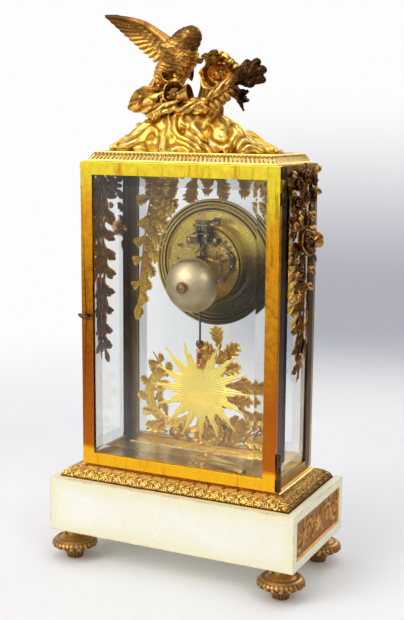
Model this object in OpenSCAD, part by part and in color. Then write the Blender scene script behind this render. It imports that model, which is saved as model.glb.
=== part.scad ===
// Glazed cage clock on a marble plinth, seen through four bevelled glasses.
// Millimetres, +Z up, dial towards -Y, origin under the middle of the four feet.

/* [Plinth and feet] */
// Height of one turned foot
foot_h = 33; // [28:0.5:38]
// Radius of a foot at its carved rim
foot_r = 24.5; // [20:0.5:25]
// Half distance between feet, left to right
foot_x = 118; // [112:0.5:120]
// Half distance between feet, front to back
foot_y = 53; // [48:0.5:55]
// Width of the marble plinth
marble_w = 274.4; // [270:0.2:280]
// Depth of the marble plinth
marble_d = 141.2; // [138:0.2:146]
// Height of the marble plinth
marble_h = 57.1; // [50:0.1:60]
// Depth of the recesses that hold the gilt friezes
frieze_depth = 3; // [2.5:0.1:4]
// Length of the frieze on each end of the plinth
side_frieze_l = 124; // [110:1:128]
// Length of the frieze on the front of the plinth
front_frieze_l = 212; // [180:1:220]
// Height of every frieze
frieze_h = 39.5; // [36:0.5:42]

/* [Leaf moulding] */
// Width of the leaf moulding at its foot
mould_w = 258; // [254:0.5:262]
// Depth of the leaf moulding at its foot
mould_d = 128; // [125:0.5:131]
// Height of the leaf moulding
mould_h = 13.7; // [12:0.1:15]

/* [Cage] */
// Width of the brass cage
cage_w = 217; // [215:0.5:219]
// Depth of the cage over both closed doors
cage_d = 100.4; // [99:0.2:102]
// Height of the cage between moulding and cornice
cage_h = 315; // [310:0.5:320]
// Thickness of a door frame
door_t = 5.5; // [5:0.1:6]
// Width of a door stile
stile_w = 13.5; // [12.5:0.1:14]
// Width of a door top rail
top_rail_w = 13.2; // [12:0.1:14]
// Width of a door bottom rail
bottom_rail_w = 12; // [11:0.1:13]
// Thickness of a corner post across the case
post_t = 5; // [4.5:0.1:5.2]
// Width of a corner post along the side of the case
post_w = 11.2; // [10.5:0.1:12]
// Thickness of the plate glass
glass_t = 3; // [2.6:0.1:3.2]
// Width of the bevel ground on the glass
bevel_w = 12; // [8:0.5:14]
// Height of one hinge with its three knuckles
hinge_l = 37; // [34:0.5:40]
// Height of the turn knobs above the bottom of the cage
knob_up = 157.5; // [150:0.5:165]
// Height of the cornice
cornice_h = 9.9; // [9:0.1:11]

/* [Movement] */
// Height of the dial centre above the floor of the room
dial_z = 313; // [311:0.5:315]
// Outer radius of the dial bezel
bezel_r = 66.5; // [65:0.5:68]
// Radius of the two movement plates
plate_r = 39; // [38.6:0.1:39.4]
// Radius of the bell at its rim
bell_r = 28; // [27:0.5:29]
// Height of the pallet arbor and suspension above the dial centre
pallet_up = 23; // [22.5:0.1:23.5]
// Length from the suspension to the middle of the sunburst
pendulum_l = 154; // [150:0.5:157]
// Number of rays round the sunburst
rays = 16; // [12:1:18]
// Reach of a long ray from the middle of the sunburst
ray_l = 60; // [54:0.5:62]
// Hour shown by the hands
hour_shown = 10; // [0:1:11]
// Minute shown by the hands
minute_shown = 9; // [0:1:59]

/* [Hidden] */
$fn = 64;

gilt = [0.80, 0.58, 0.22];
dark_gilt = [0.52, 0.36, 0.15];
lacquer = [0.78, 0.42, 0.08];
brass = [0.83, 0.66, 0.30];
steel = [0.30, 0.30, 0.31];
marble_white = [0.93, 0.91, 0.85];
clear = [0.82, 0.90, 0.92, 0.4];

z_marble = foot_h;
z_mould = z_marble + marble_h;
z_cage = z_mould + mould_h;
z_top = z_cage + cage_h;
z_finial = z_top + cornice_h;
cage_x = cage_w / 2;
cage_y = cage_d / 2;
fit = 0.3;
inner_y = cage_y - door_t - fit;
plate_t = 3.2;
z_floor = z_cage + plate_t + 1.2;
opening_x = cage_x - stile_w;
door_z0 = z_cage + 0.4;
door_z1 = z_top - 0.4;
opening_z0 = door_z0 + bottom_rail_w;
opening_z1 = door_z1 - top_rail_w;
rail_z0 = z_cage + 9.2;
rail_z1 = z_top - 11.8;
post_y = inner_y - post_w;
groove = 2;
stud_r = 3;
stud_top = z_mould + 8;

hinge_x = cage_x + 2.4;
hinge_y = cage_y - door_t / 2;
knuckle_r = 2.1;
pin_r = 1.05;
pin_gap = 0.05;
hinge_foot = [door_z0, door_z1 - hinge_l];

latch_x = cage_x - 7;
latch_z = z_cage + knob_up;
latch_r = 1.3;
latch_tilt = 18;

front_plate_y = -38;
back_plate_y = -17;
movement_plate_t = 2;
inside_front = front_plate_y + movement_plate_t;
inside_back = back_plate_y;
plate_back = back_plate_y + movement_plate_t;
dial_y = -42;
dial_t = 1.4;
dial_r = 57;
flange_y = -41;
flange_back = -38.4;
pillar_r = 2.2;
pillar_ring = 34.5;
pillar_angles = [355, 35, 145, 185, 270];

barrel_at = [19, -14];
second_at = [12.98, 2.6];
third_at = [-7.9, 10.07];
escape_at = [0, 13];
pallet_at = [0, pallet_up];
regulator_at = [-5, 44.3];
minute_at = [4.8, 8.314];
hammer_at = [-31, 8];
barrel_teeth = 70;
second_pinion_teeth = 14;
intermediate_teeth = 54;
centre_pinion_teeth = 9;
centre_teeth = 84;
third_pinion_teeth = 7;
third_teeth = 75;
escape_pinion_teeth = 8;
escape_teeth = 40;
escape_r = 6.9;
cannon_teeth = 12;
minute_teeth = 36;
minute_pinion_teeth = 10;
hour_teeth = 40;
great_module = 0.42;
centre_module = 2 * norm(third_at) / (centre_teeth + third_pinion_teeth);
third_module = 2 * norm(third_at - escape_at) / (third_teeth + escape_pinion_teeth);
cannon_module = 2 * norm(minute_at) / (cannon_teeth + minute_teeth);
hour_module = 2 * norm(minute_at) / (hour_teeth + minute_pinion_teeth);
barrel_y = -33.7;
barrel_back = -24;
pivot_r = 0.5;
arbor_r = 0.7;
winding_r = 2;

suspension_y = -6.5;
rod_r = 1.1;
bob_z = dial_z + pallet_up - pendulum_l;
bell_z = dial_z - 17.6;
bell_rim_y = 12;
bell_depth = 22;
bell_wall = 2;
bell_post_x = 11;

function leaf_outline(l, w) = [
    [0, -0.08 * w], [0.22 * l, -0.42 * w], [0.5 * l, -0.46 * w], [0.8 * l, -0.24 * w], [l, 0],
    [0.8 * l, 0.24 * w], [0.5 * l, 0.46 * w], [0.22 * l, 0.42 * w], [0, 0.08 * w]
];
function flower_outline(r) = [for (i = [0:14]) (i % 3 == 2 ? 0.72 : 1) * r * [cos(24 * i), sin(24 * i)]];
function arc(r, a0, a1, n) = [for (i = [0:n]) let (a = a0 + (a1 - a0) * i / n) r * [cos(a), sin(a)]];
function reversed(list) = [for (i = [len(list) - 1:-1:0]) list[i]];
function gear_outline(teeth, m) = let (pitch = teeth * m / 2, step = 360 / teeth) [
    for (i = [0:teeth - 1])
        for (p = [[pitch - 1.15 * m, -0.27], [pitch + 0.8 * m, -0.1], [pitch + 0.8 * m, 0.1], [pitch - 1.15 * m, 0.27]])
            p[0] * [cos((i + p[1]) * step), sin((i + p[1]) * step)]
];
function bearing(from, to) = atan2(to[1] - from[1], to[0] - from[0]);
function half_tooth(teeth) = 180 / teeth;

module at_movement(p, y) {
    translate([p[0], y, dial_z + p[1]])
        rotate([90, 0, 0])
            children();
}

module mirrored(on) {
    if (on) {
        mirror([1, 0, 0])
            children();
    } else {
        children();
    }
}

module half_turn(on) {
    rotate([0, 0, on ? 180 : 0])
        children();
}

module block(x, y, z) {
    translate([x[0], y[0], z[0]])
        cube([x[1] - x[0], y[1] - y[0], z[1] - z[0]]);
}

// A blade lying flat: the outline of a leaf under a ridge that runs along its middle.
module leaf(l, w, h) {
    edge = 0.8;
    intersection() {
        linear_extrude(h + 1)
            polygon(leaf_outline(l, w));
        translate([-1, 0, 0])
            rotate([90, 0, 90])
                linear_extrude(l + 2)
                    polygon([[-w / 2, 0], [w / 2, 0], [w / 2, edge], [0, h], [-w / 2, edge]]);
    }
}

module rose(r, h) {
    linear_extrude(0.62 * h)
        polygon(flower_outline(r));
    rotate(36)
        linear_extrude(h)
            polygon(flower_outline(0.55 * r));
}

module foot(x, y) {
    color(dark_gilt)
        translate([x, y, 0])
            rotate_extrude()
                polygon([
                    [0, 0], [8, 0], [8.6, 1.6], [11.5, 5.4], [17.5, 10], [foot_r - 1.6, 13.4],
                    [foot_r, 16], [foot_r - 0.2, 18.6], [foot_r - 2.2, 21], [18.6, 22], [16.4, 21.4],
                    [14.2, 22.6], [10.4, 25.2], [8, 28.4], [8, 30.6], [9.4, foot_h], [stud_r, foot_h],
                    [stud_r, stud_top - 1], [stud_r - 1, stud_top], [0, stud_top]
                ]);
}

module foot_front_left() { foot(-foot_x, -foot_y); }
module foot_front_right() { foot(foot_x, -foot_y); }
module foot_rear_left() { foot(-foot_x, foot_y); }
module foot_rear_right() { foot(foot_x, foot_y); }

module marble_plinth() {
    color(marble_white)
        difference() {
            block([-marble_w / 2, marble_w / 2], [-marble_d / 2, marble_d / 2], [z_marble, z_mould]);
            for (x = [-foot_x, foot_x], y = [-foot_y, foot_y])
                translate([x, y, z_marble - 1])
                    cylinder(h = marble_h + 2, r = stud_r + 0.5);
            for (s = [-1, 1])
                translate([s * marble_w / 2, 0, 0])
                    block([-frieze_depth, frieze_depth], [-side_frieze_l / 2, side_frieze_l / 2],
                        [z_marble + 9.5, z_marble + 9.5 + frieze_h]);
            block([-front_frieze_l / 2, front_frieze_l / 2],
                [-marble_d / 2 - 1, -marble_d / 2 + frieze_depth],
                [z_marble + 9.5, z_marble + 9.5 + frieze_h]);
        }
}

// A gilt panel lying flat: raised border, a central flower and leaf scrolls to both sides.
module frieze(l) {
    border = 2.2;
    difference() {
        linear_extrude(2.7)
            square([l - 0.2, frieze_h - 0.2], center = true);
        translate([0, 0, 0.9])
            linear_extrude(3)
                square([l - 2 * border, frieze_h - 2 * border], center = true);
    }
    translate([0, 0, 0.6])
        rose(0.32 * frieze_h, 2);
    for (s = [-1, 1], i = [0:2], t = [-1, 1])
        translate([s * l * (0.14 + 0.11 * i), 0, 0.6])
            rotate(90 - s * 90 + t * 38)
                leaf(0.11 * l, 0.28 * frieze_h, 1.8);
}

module side_friezes() {
    color(dark_gilt)
        for (a = [0, 180])
            rotate(a)
                translate([marble_w / 2 - frieze_depth, 0, z_marble + 9.5 + frieze_h / 2])
                    rotate([90, 0, 90])
                        frieze(side_frieze_l);
}

module front_frieze() {
    color(dark_gilt)
        translate([0, -marble_d / 2 + frieze_depth, z_marble + 9.5 + frieze_h / 2])
            rotate([90, 0, 0])
                frieze(front_frieze_l);
}

// One mitred rectangular moulding; the profile's x runs outward from the middle of a side.
module mitred(w, d, inner, h) {
    for (a = [0, 90, 180, 270]) {
        run = (a % 180 == 0) ? w / 2 : d / 2;
        reach = (a % 180 == 0) ? d / 2 : w / 2;
        rotate(a)
            intersection() {
                translate([run, -reach, 0])
                    rotate([90, 0, -90])
                        linear_extrude(2 * run)
                            children();
                linear_extrude(h)
                    polygon([
                        [-run, -reach], [run, -reach], [run - inner, -reach + inner], [-run + inner, -reach + inner]
                    ]);
            }
    }
}

module base_moulding() {
    color(gilt)
        translate([0, 0, z_mould])
            difference() {
                mitred(mould_w, mould_d, 34, mould_h)
                    polygon([
                        [0, 0], [-34, 0], [-34, mould_h], [-17.5, mould_h], [-17.5, mould_h - 1.4],
                        [-15.6, mould_h - 1.6], [-12, mould_h - 2.6], [-8, mould_h - 4.4],
                        [-4.4, mould_h - 7], [-1.6, mould_h - 10], [-0.3, mould_h - 12.2]
                    ]);
                for (x = [-foot_x, foot_x], y = [-foot_y, foot_y])
                    translate([x, y, -1])
                        cylinder(h = 9.2, r = stud_r + 0.1);
            }
}

module bottom_frame() {
    color(lacquer) {
        block([-cage_x, cage_x], [-inner_y, inner_y], [z_cage, z_cage + plate_t]);
        for (s = [-1, 1])
            mirrored(s < 0)
                block([cage_x - post_t, cage_x], [-post_y, post_y], [z_cage + plate_t, rail_z0]);
    }
}

module floor_plate() {
    strip = 3;
    color(brass) {
        block([-cage_x + post_t, cage_x - post_t], [-inner_y, inner_y], [z_cage + plate_t, z_floor]);
        for (s = [-1, 1])
            block([-cage_x + post_t + 6, cage_x - post_t - 6], s > 0 ? [31, 31 + strip] : [-31 - strip, -31],
                [z_floor, z_floor + 1.2]);
    }
}

module post(left, rear, catch) {
    color(dark_gilt)
        mirrored(left)
            mirror([0, rear ? 0 : 1, 0])
                difference() {
                    union() {
                        block([cage_x - post_t, cage_x], [post_y, inner_y], [z_cage + plate_t, z_top - 3.8]);
                        if (!catch)
                            for (z = hinge_foot, k = [0, 2])
                                post_knuckle(z + k * hinge_l / 3);
                    }
                    block([cage_x - post_t + 0.9, cage_x - post_t + 1.1 + glass_t], [post_y - 1, post_y + groove],
                        [z_cage, z_top]);
                    if (catch)
                        block([cage_x - post_t - 1, cage_x - 1.2], [inner_y - 4, inner_y - 0.8],
                            [latch_z - 6.2, latch_z + 2.2]);
                }
}

// Hinge knuckle soldered to the outer face of a corner post.
module post_knuckle(z) {
    difference() {
        union() {
            translate([hinge_x, hinge_y, z + 0.2])
                cylinder(h = hinge_l / 3 - 0.4, r = knuckle_r);
            block([cage_x, hinge_x + knuckle_r - 0.5], [inner_y - 1.2, hinge_y - 1], [z + 0.2, z + hinge_l / 3 - 0.2]);
        }
        translate([hinge_x, hinge_y, z - 1])
            cylinder(h = hinge_l / 3 + 2, r = pin_r + pin_gap);
    }
}

module post_front_left() { post(true, false, true); }
module post_front_right() { post(false, false, false); }
module post_rear_left() { post(true, true, false); }
module post_rear_right() { post(false, true, true); }

// Bevelled plate glass standing in the X-Z plane, its ground bevel facing +Y.
module plate_glass(w, h) {
    edge_t = 1.5;
    color(clear)
        hull() {
            block([-w / 2, w / 2], [0, edge_t], [0, h]);
            block([-w / 2 + bevel_w, w / 2 - bevel_w], [0, glass_t], [bevel_w, h - bevel_w]);
        }
}

module side_glass(left) {
    half_turn(left)
        translate([cage_x - post_t + 1, 0, rail_z0])
            rotate(-90)
                plate_glass(2 * (post_y + groove), rail_z1 - rail_z0);
}

module side_glass_left() { side_glass(true); }
module side_glass_right() { side_glass(false); }

module top_frame() {
    color(lacquer) {
        block([-cage_x, cage_x], [-inner_y, inner_y], [z_top - 3.8, z_top]);
        for (s = [-1, 1])
            mirrored(s < 0)
                block([cage_x - post_t, cage_x], [-post_y, post_y], [rail_z1, z_top - 3.8]);
    }
}

module cornice() {
    inset = 5.1;
    color(gilt)
        translate([0, 0, z_top]) {
            mitred(cage_w - 2 * inset, cage_d - 2 * inset, 16, cornice_h)
                polygon([
                    [0, 0], [-16, 0], [-16, cornice_h], [-5.8, cornice_h], [-5.8, cornice_h - 1.2],
                    [-4.6, cornice_h - 1.6], [-2.6, 5.6], [-0.9, 3], [-0.4, 1.6], [0, 1.4]
                ]);
            translate([0, 0, cornice_h - 2.4])
                block([-cage_x + 18, cage_x - 18], [-cage_y + 18, cage_y - 18], [0, 2.4]);
        }
}

// A rounded limb through points given as [x, y, z, radius].
module limb(points, sides = 8) {
    for (i = [0:len(points) - 2])
        hull()
            for (p = [points[i], points[i + 1]])
                translate([p[0], p[1], p[2]])
                    sphere(p[3], $fn = sides);
}

// Cloud-like folds that swirl up from the cornice and carry the bird and the trophy.
module rock_mass() {
    rear_folds = [
        [[98, 6, 1, 4], [86, 14, 4, 6], [72, 18, 5, 8], [58, 20, 6, 10]],
        [[70, 22, 2, 8], [60, 21, 12, 10], [50, 15, 23, 11], [30, 10, 28, 10]],
        [[50, 28, 1, 10], [42, 25, 12, 12], [30, 18, 24, 11], [12, 12, 30, 10]],
        [[22, 30, 1, 10], [20, 28, 12, 11], [12, 21, 24, 11], [2, 14, 30, 9]],
        [[-4, 30, 1, 10], [-6, 28, 12, 11], [-10, 21, 24, 10], [-8, 12, 31, 9]],
        [[-30, 28, 1, 10], [-32, 25, 10, 12], [-32, 17, 22, 11], [-22, 8, 30, 9]],
        [[-60, 22, 1, 8], [-54, 19, 7, 10], [-43, 13, 18, 11], [-34, 8, 24, 10]],
        [[-92, 6, 0, 4], [-78, 12, 2, 6], [-64, 14, 5, 8]]
    ];
    front_folds = [
        [[92, -10, 1, 5], [74, -16, 4, 8], [58, -14, 12, 10], [44, -8, 24, 10]],
        [[34, -24, 5, 11], [28, -18, 18, 12], [14, -8, 28, 10]],
        [[-2, -26, 5, 11], [-4, -18, 19, 12], [-10, -6, 29, 9]],
        [[-38, -22, 5, 10], [-32, -14, 18, 11], [-22, -4, 28, 9]],
        [[-82, -8, 1, 5], [-66, -12, 4, 8], [-48, -12, 12, 10]]
    ];
    swirls = [
        [[84, 9, 8, 3], [66, 18, 17, 3.6], [46, 25, 21, 3.6], [33, 32, 9, 3.2]],
        [[60, 14, 25, 3.4], [40, 25, 25, 4], [24, 33, 14, 4], [10, 35, 1, 3.4]],
        [[28, 16, 36, 3.4], [14, 28, 25, 4], [2, 34, 12, 4], [-8, 35, 1, 3.4]],
        [[4, 17, 38, 3.4], [-6, 28, 26, 4], [-18, 33, 14, 4], [-16, 35, 1, 3.4]],
        [[-16, 14, 37, 3.4], [-26, 25, 26, 4], [-42, 29, 14, 4], [-44, 31, 1, 3.4]],
        [[-34, 12, 29, 3.4], [-48, 21, 20, 4], [-63, 22, 9, 3.6], [-76, 19, 1, 3]],
        [[58, -12, 20, 3.6], [44, -22, 17, 4], [52, -28, 2, 3.6]],
        [[24, -14, 34, 3.6], [10, -26, 21, 4], [16, -33, 2, 3.6]],
        [[-16, -12, 32, 3.6], [-22, -25, 19, 4], [-14, -32, 2, 3.6]]
    ];
    intersection() {
        union() {
            for (fold = concat(rear_folds, front_folds, swirls))
                limb(fold);
            limb([[52, 0, 6, 15], [20, 2, 14, 20], [-14, 2, 14, 20], [-46, 0, 6, 14]]);
            translate([-84, -26, 0])
                cube([172, 52, 2.4]);
        }
        translate([-100, -38, 0])
            cube([204, 76, 60]);
    }
}

// A dove that bends its head over the flowers; the far wing lies half open on its flank.
module bird_mass() {
    limb([[18, 2, 79, 9], [16, 2, 92, 15], [14, 2, 103, 12.5], [8, 2, 114, 9.6]], 14);
    limb([[8, 2, 114, 9.6], [3, 4, 111, 7.6], [0.5, 5, 105, 3.6]], 10);
    limb([[0.5, 5, 105, 2.8], [1, 6, 99, 1]]);
    limb([[20, 2, 102, 12], [35, 3, 104, 8]], 12);
    limb([[22, 3, 92, 13], [36, 4, 80, 10.5], [42, 4, 66, 8]], 12);
    for (k = [0:2])
        limb([[38 + 2 * k, 6 + k, 92 - 4 * k, 5], [43 + k, 8 + k, 78 - 3 * k, 4.4], [45, 9 - k, 60 - 3 * k, 3]]);
    limb([[18, 2, 80, 8], [23, 2, 70, 7.5], [30, 2, 56, 9]]);
    for (k = [0:3])
        limb([[24 - 2 * k, -10, 108 - 4 * k, 4.5], [10 + 3 * k, -13, 96 - 5 * k, 4], [12 + 4 * k, -12, 78 - 3 * k, 2]]);
}

// The raised wing: a thin web, flight feathers that fan out over it and shorter ones at their roots.
module wing_mass() {
    feathers = 10;
    web = [[33, 3, 108], [60, 6, 126], [96, 9, 133.5], [74, 7, 113], [54, 5, 93], [42, 3, 92]];
    hull()
        for (p = web)
            translate(p)
                sphere(1.8, $fn = 8);
    limb([[32, 3, 106, 7], [44, 5, 116, 5], [60, 7, 126, 3.8], [80, 9, 131.6, 2.8], [99, 11, 134, 1.8]]);
    for (i = [0:feathers - 1])
        let (t = i / (feathers - 1))
            limb([
                [62 - 27 * t, 8 - 2 * t, 125 - 22 * t, 3.8],
                [82 - 38 * t, 10 - 3 * t, 126 - 31 * t, 3.7],
                [100 - 51 * t, 11 - 4 * t, 133 - 44 * t, 1.8]
            ]);
    for (i = [0:4])
        let (t = i / 4)
            limb([[56 - 20 * t, 10, 121 - 16 * t, 3.6], [68 - 22 * t, 12 - t, 119 - 22 * t, 2.4]]);
}

module cup(mouth, pitch, turn, r, open) {
    depth = 13;
    translate(mouth)
        rotate([pitch, 0, turn])
            translate([0, 0, -depth])
                difference() {
                    cylinder(h = depth, r1 = 0.45 * r, r2 = r, $fn = 32);
                    if (open)
                        translate([0, 0, 3])
                            cylinder(h = depth, r1 = 0.3 * r, r2 = r, $fn = 32);
                }
}

// Flower basket, hollow from a mouth cut aslant towards the rear of the case.
module basket(open) {
    mouth = [-31, 16, 78];
    facing = [-48, 0, 22];
    difference() {
        translate([-9, 3, 40])
            rotate([-16, -33, 0])
                cylinder(h = 60, r1 = 10, r2 = 22, $fn = 32);
        translate(mouth)
            rotate(facing)
                translate([-40, -40, 0])
                    cube([80, 80, 60]);
        if (open)
            translate(mouth)
                rotate(facing)
                    translate([0, 0, -16])
                        cylinder(h = 17, r1 = 10, r2 = 15, $fn = 32);
    }
    translate(mouth)
        rotate(facing) {
            for (a = [75:33:280])
                rotate(a)
                    translate([15, 0, -5])
                        rotate([0, -70, 0])
                            leaf(17, 15, 3.4);
            for (a = [40, 160, 280])
                rotate(a)
                    translate([7, 0, -17])
                        rose(7, 12);
        }
}

// Basket, three flower cups and the leaf scrolls they grow from; open = false fills the hollows.
module basket_mass(open) {
    basket(open);
    cup([20, 16, 57], -80, 26, 10.5, open);
    cup([24, 12, 75], -40, 26, 10.5, open);
    cup([6, 10, 57], -76, 84, 9.5, open);
    limb([[25, 3, 54, 7], [27, 1, 66, 7], [24, 2, 52, 8], [20, 3, 40, 9]]);
    limb([[67, 8, 41, 1.6], [59, 10, 46, 4], [51, 9, 58, 4.6], [46, 7, 68, 4]]);
    limb([[62, 9, 43, 3], [52, 13, 42, 7], [40, 16, 40, 8.5], [26, 17, 42, 7], [16, 15, 46, 5]]);
    limb([[50, 8, 60, 5], [44, 10, 52, 8.5], [36, 9, 54, 9]]);
    limb([[14, 17, 42, 5.5], [0, 21, 43, 7], [-14, 19, 44, 6], [-24, 13, 46, 5]]);
    limb([[4, 10, 46, 8], [-6, 8, 42, 11], [-14, 8, 46, 10]]);
    limb([[-10, 3, 88, 2.5], [-20, 4, 94, 4], [-32, 7, 91, 4], [-46, 12, 81, 2.5]]);
}

// Torch wrapped in oak leaves, leaning out over the low side of the rock.
module torch_mass() {
    tips = [[-56, 11, 86], [-65, 12, 88], [-74, 11, 80], [-72, 10, 70], [-61, 13, 65], [-66, 5, 77]];
    limb([[-22, 23, 53, 5.5], [-36, 22, 63, 6.4], [-50, 16, 72, 7]]);
    limb([[-20, 8, 32, 9], [-24, 13, 44, 8], [-23, 21, 54, 5.5]]);
    for (t = tips)
        limb([[-48, 11, 72, 7], (2 * concat([-50, 11, 74], 8) + 3 * concat(t, 5)) / 5, concat(t, 3)]);
    for (k = [0:3])
        limb([[-25 - 6 * k, 27 - k, 53 + 4 * k, 3.4], [-26 - 6 * k, 27 - k, 59 + 4 * k, 3.4]]);
    limb([[-36, 14, 63, 5], [-45, 9, 54, 3.8], [-52, 9, 41, 1.4]]);
    limb([[-40, 13, 66, 5], [-48, 6, 60, 3.6], [-54, 5, 51, 1.6]]);
}

// Castings of the finial, each cut where it seats on the next.
module finial_rock() {
    color(gilt)
        translate([0, 0, z_finial])
            difference() {
                rock_mass();
                basket_mass(false);
                torch_mass();
            }
}

module finial_bird() {
    color(gilt)
        translate([0, 0, z_finial])
            difference() {
                bird_mass();
                basket_mass(false);
            }
}

module finial_wing() {
    color(gilt)
        translate([0, 0, z_finial])
            difference() {
                wing_mass();
                bird_mass();
            }
}

module finial_basket() {
    color(gilt)
        translate([0, 0, z_finial])
            difference() {
                basket_mass(true);
                torch_mass();
            }
}

module finial_torch() {
    color(dark_gilt)
        translate([0, 0, z_finial])
            torch_mass();
}

// A stem through the given points with leaves set off to both sides of it.
module spray(path, l, w, h, taper) {
    for (i = [0:len(path) - 2])
        let (a = bearing(path[i], path[i + 1]), k = 1 - taper * i / len(path))
            translate(path[i]) {
                for (s = [-1, 1])
                    rotate(a + s * (42 + 10 * (i % 2)))
                        translate([0.4 - 0.3 * s, 0, 0])
                            leaf(l * k, w * k, h * (1 - 0.03 * (i % 3) - 0.05 * s));
                rotate(a)
                    translate([-1, -1.1, 0])
                        cube([norm(path[i + 1] - path[i]) + 2, 2.2, 1.9 + 0.15 * (i % 2)]);
            }
}

// Flowers tied with a bow at the top rail, an open rose, buds and a tail of leaves.
module side_garland(left) {
    path = [[0, 414], [3, 392], [-1, 372], [5, 346], [2, 326], [-2, 308], [1, 288], [1, 266], [1, 246], [2, 228]];
    mirrored(left)
        translate([cage_x + fit, 0, 0])
            rotate([90, 0, 90])
                color(dark_gilt) {
                    spray(path, 32, 18, 4.2, 0.35);
                    for (s = [-1, 1]) {
                        translate([s * 14, 406, 0])
                            rotate(90 - s * 74)
                                leaf(27, 18, 4.5);
                        translate([s * 12, 396, 0])
                            rotate(270 + s * 52)
                                leaf(32, 15, 4);
                    }
                    for (r = [[0, 404, 12], [-20, 388, 10], [18, 384, 10], [2, 342, 17], [8, 310, 9]])
                        translate([r[0], r[1], 0])
                            rose(r[2], 7);
                    translate([2, 232, 0])
                        rotate(266)
                            leaf(24, 11, 3.5);
                }
}

module side_garland_left() { side_garland(true); }
module side_garland_right() { side_garland(false); }

// Half of the front garland, drawn on its own flat back with +X to the right: a branch along the top,
// then a fall of leaves that is broad beside the dial and runs out to a point.
module half_garland() {
    falls = 7;
    spray([[0, 397], [24, 397], [46, 395], [66, 391]], 21, 17, 3.2, 0);
    spray([[66, 391], [76, 379], [81, 358], [84, 336], [87, 312], [90, 286], [91.5, 264]], 17, 13, 2.9, 0.3);
    block([38, 42], [392, z_top - 3.8], [0, 1.7]);
    for (a = [52, 104, 168, 207, 236])
        translate([73, 384, 0])
            rotate(a)
                leaf(24 + 9 * abs(sin(a + 60)), 17, 2.5 + a / 500);
    for (i = [0:falls])
        translate([78 + 1.9 * i, 374 - 16 * i, 0])
            rotate(195 + 8 * i)
                leaf(33 - 2.8 * i, 20 - 1.6 * i, 2.6 + 0.11 * (i % 3));
    translate([91.5, 264, 0])
        rotate(275)
            leaf(22, 8, 2.7);
    translate([76, 383, 0])
        rose(13, 3.3);
    translate([81, 350, 0])
        rose(9, 3.1);
}

// Open leaf garland behind the front glass: it hangs from the top and carries the dial bezel.
module front_garland() {
    color(gilt)
        translate([0, flange_y, 0])
            rotate([90, 0, 0])
                difference() {
                    union() {
                        half_garland();
                        mirror([1, 0, 0])
                            half_garland();
                    }
                    translate([0, dial_z, -1])
                        cylinder(h = 10, r = 62.5);
                }
}

// A flat strap bent to part of a circle.
module band(x, z, r, from, to, strap_w) {
    translate([x, z, 0])
        linear_extrude(2.4)
            polygon(concat(arc(r, from, to, 14), reversed(arc(r - strap_w, from, to, 14))));
}

// Open trophy of straps and leaf sprays that stands on the floor behind the front glass.
module front_trophy() {
    foot_z = z_floor + 4;
    // Single leaves: root X and Z, bearing, length and width.
    plume = [[-6, 220, 82, 25, 15], [-7, 205, 47, 29, 14], [-7, 204, 131, 32, 15], [-4, 194, 162, 29, 14], [-3, 194, 36, 25, 13]];
    spike = [[-10, 181, 176, 50, 14], [-25, 182, 150, 18, 9], [-27, 182, 203, 18, 9]];
    sweep = [[-12, 166, 179, 36, 13], [-28, 160, 214, 36, 12]];
    feet = [[56, 121, 14, 27, 13], [29, 114, 62, 23, 12], [70, 114, 121, 19, 10], [-50, 120, 168, 28, 13]];
    color(gilt)
        translate([0, flange_y, 0])
            rotate([90, 0, 0]) {
                block([-66, 78], [z_floor, foot_z + 1], [0, 2.3]);
                band(49, 162, 35, -128, 62, 11);
                band(34, 148, 26, 100, 255, 7);
                band(-40, 152, 32, 98, 262, 9);
                for (a = [-72:28:40])
                    translate([49 + 30 * cos(a), 162 + 30 * sin(a), 0])
                        rotate(a + 48)
                            leaf(15, 9, 3 + a / 300);
                spray([[57, 184], [66, 198], [74, 209]], 17, 11, 3.1, 0.2);
                spray([[0, foot_z], [1, 134], [0, 158], [-3, 182], [-6, 204], [-6, 222]], 28, 16, 3.2, 0.3);
                spray([[-34, 122], [-46, 136], [-62, 142]], 26, 13, 2.9, 0.2);
                let (leaves = concat(plume, spike, sweep, feet))
                    for (i = [0:len(leaves) - 1])
                        let (p = leaves[i])
                            translate([p[0], p[1], 0])
                                rotate(p[2])
                                    leaf(p[3], p[4], 2.6 + 0.09 * (i % 4));
                for (i = [0:4])
                    translate([-20 + 4 * i, foot_z, 0])
                        rotate(124 - 17 * i)
                            leaf(40 - i, 13, 2.95 - 0.06 * i);
                for (x = [46, -44])
                    translate([x, 121, 0])
                        rose(13, 3.3);
            }
}

module door_frame(front) {
    half_turn(front)
        color(lacquer)
            difference() {
                union() {
                    block([-cage_x, cage_x], [inner_y + fit, cage_y], [door_z0, door_z1]);
                    for (z = hinge_foot)
                        mirrored(true)
                            door_knuckle(z + hinge_l / 3);
                }
                block([-opening_x, opening_x], [0, cage_y + 1], [opening_z0, opening_z1]);
                block([-opening_x - groove, opening_x + groove], [cage_y - 1 - glass_t, cage_y - 1],
                    [opening_z0 - groove, opening_z1 + groove]);
                translate([latch_x, cage_y + 1, latch_z])
                    rotate([90, 0, 0])
                        cylinder(h = door_t + 4, r = latch_r + pin_gap);
            }
}

// Hinge knuckle brazed to the hinge edge of a door.
module door_knuckle(z) {
    difference() {
        union() {
            translate([hinge_x, hinge_y, z + 0.2])
                cylinder(h = hinge_l / 3 - 0.4, r = knuckle_r);
            block([cage_x - 0.5, hinge_x], [hinge_y - 1.2, hinge_y + 1.2], [z + 0.2, z + hinge_l / 3 - 0.2]);
        }
        translate([hinge_x, hinge_y, z - 1])
            cylinder(h = hinge_l / 3 + 2, r = pin_r + pin_gap);
    }
}

module door_glass(front) {
    half_turn(front)
        translate([0, cage_y - 1 - glass_t, opening_z0 - groove])
            plate_glass(2 * (opening_x + groove), opening_z1 - opening_z0 + 2 * groove);
}

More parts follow.
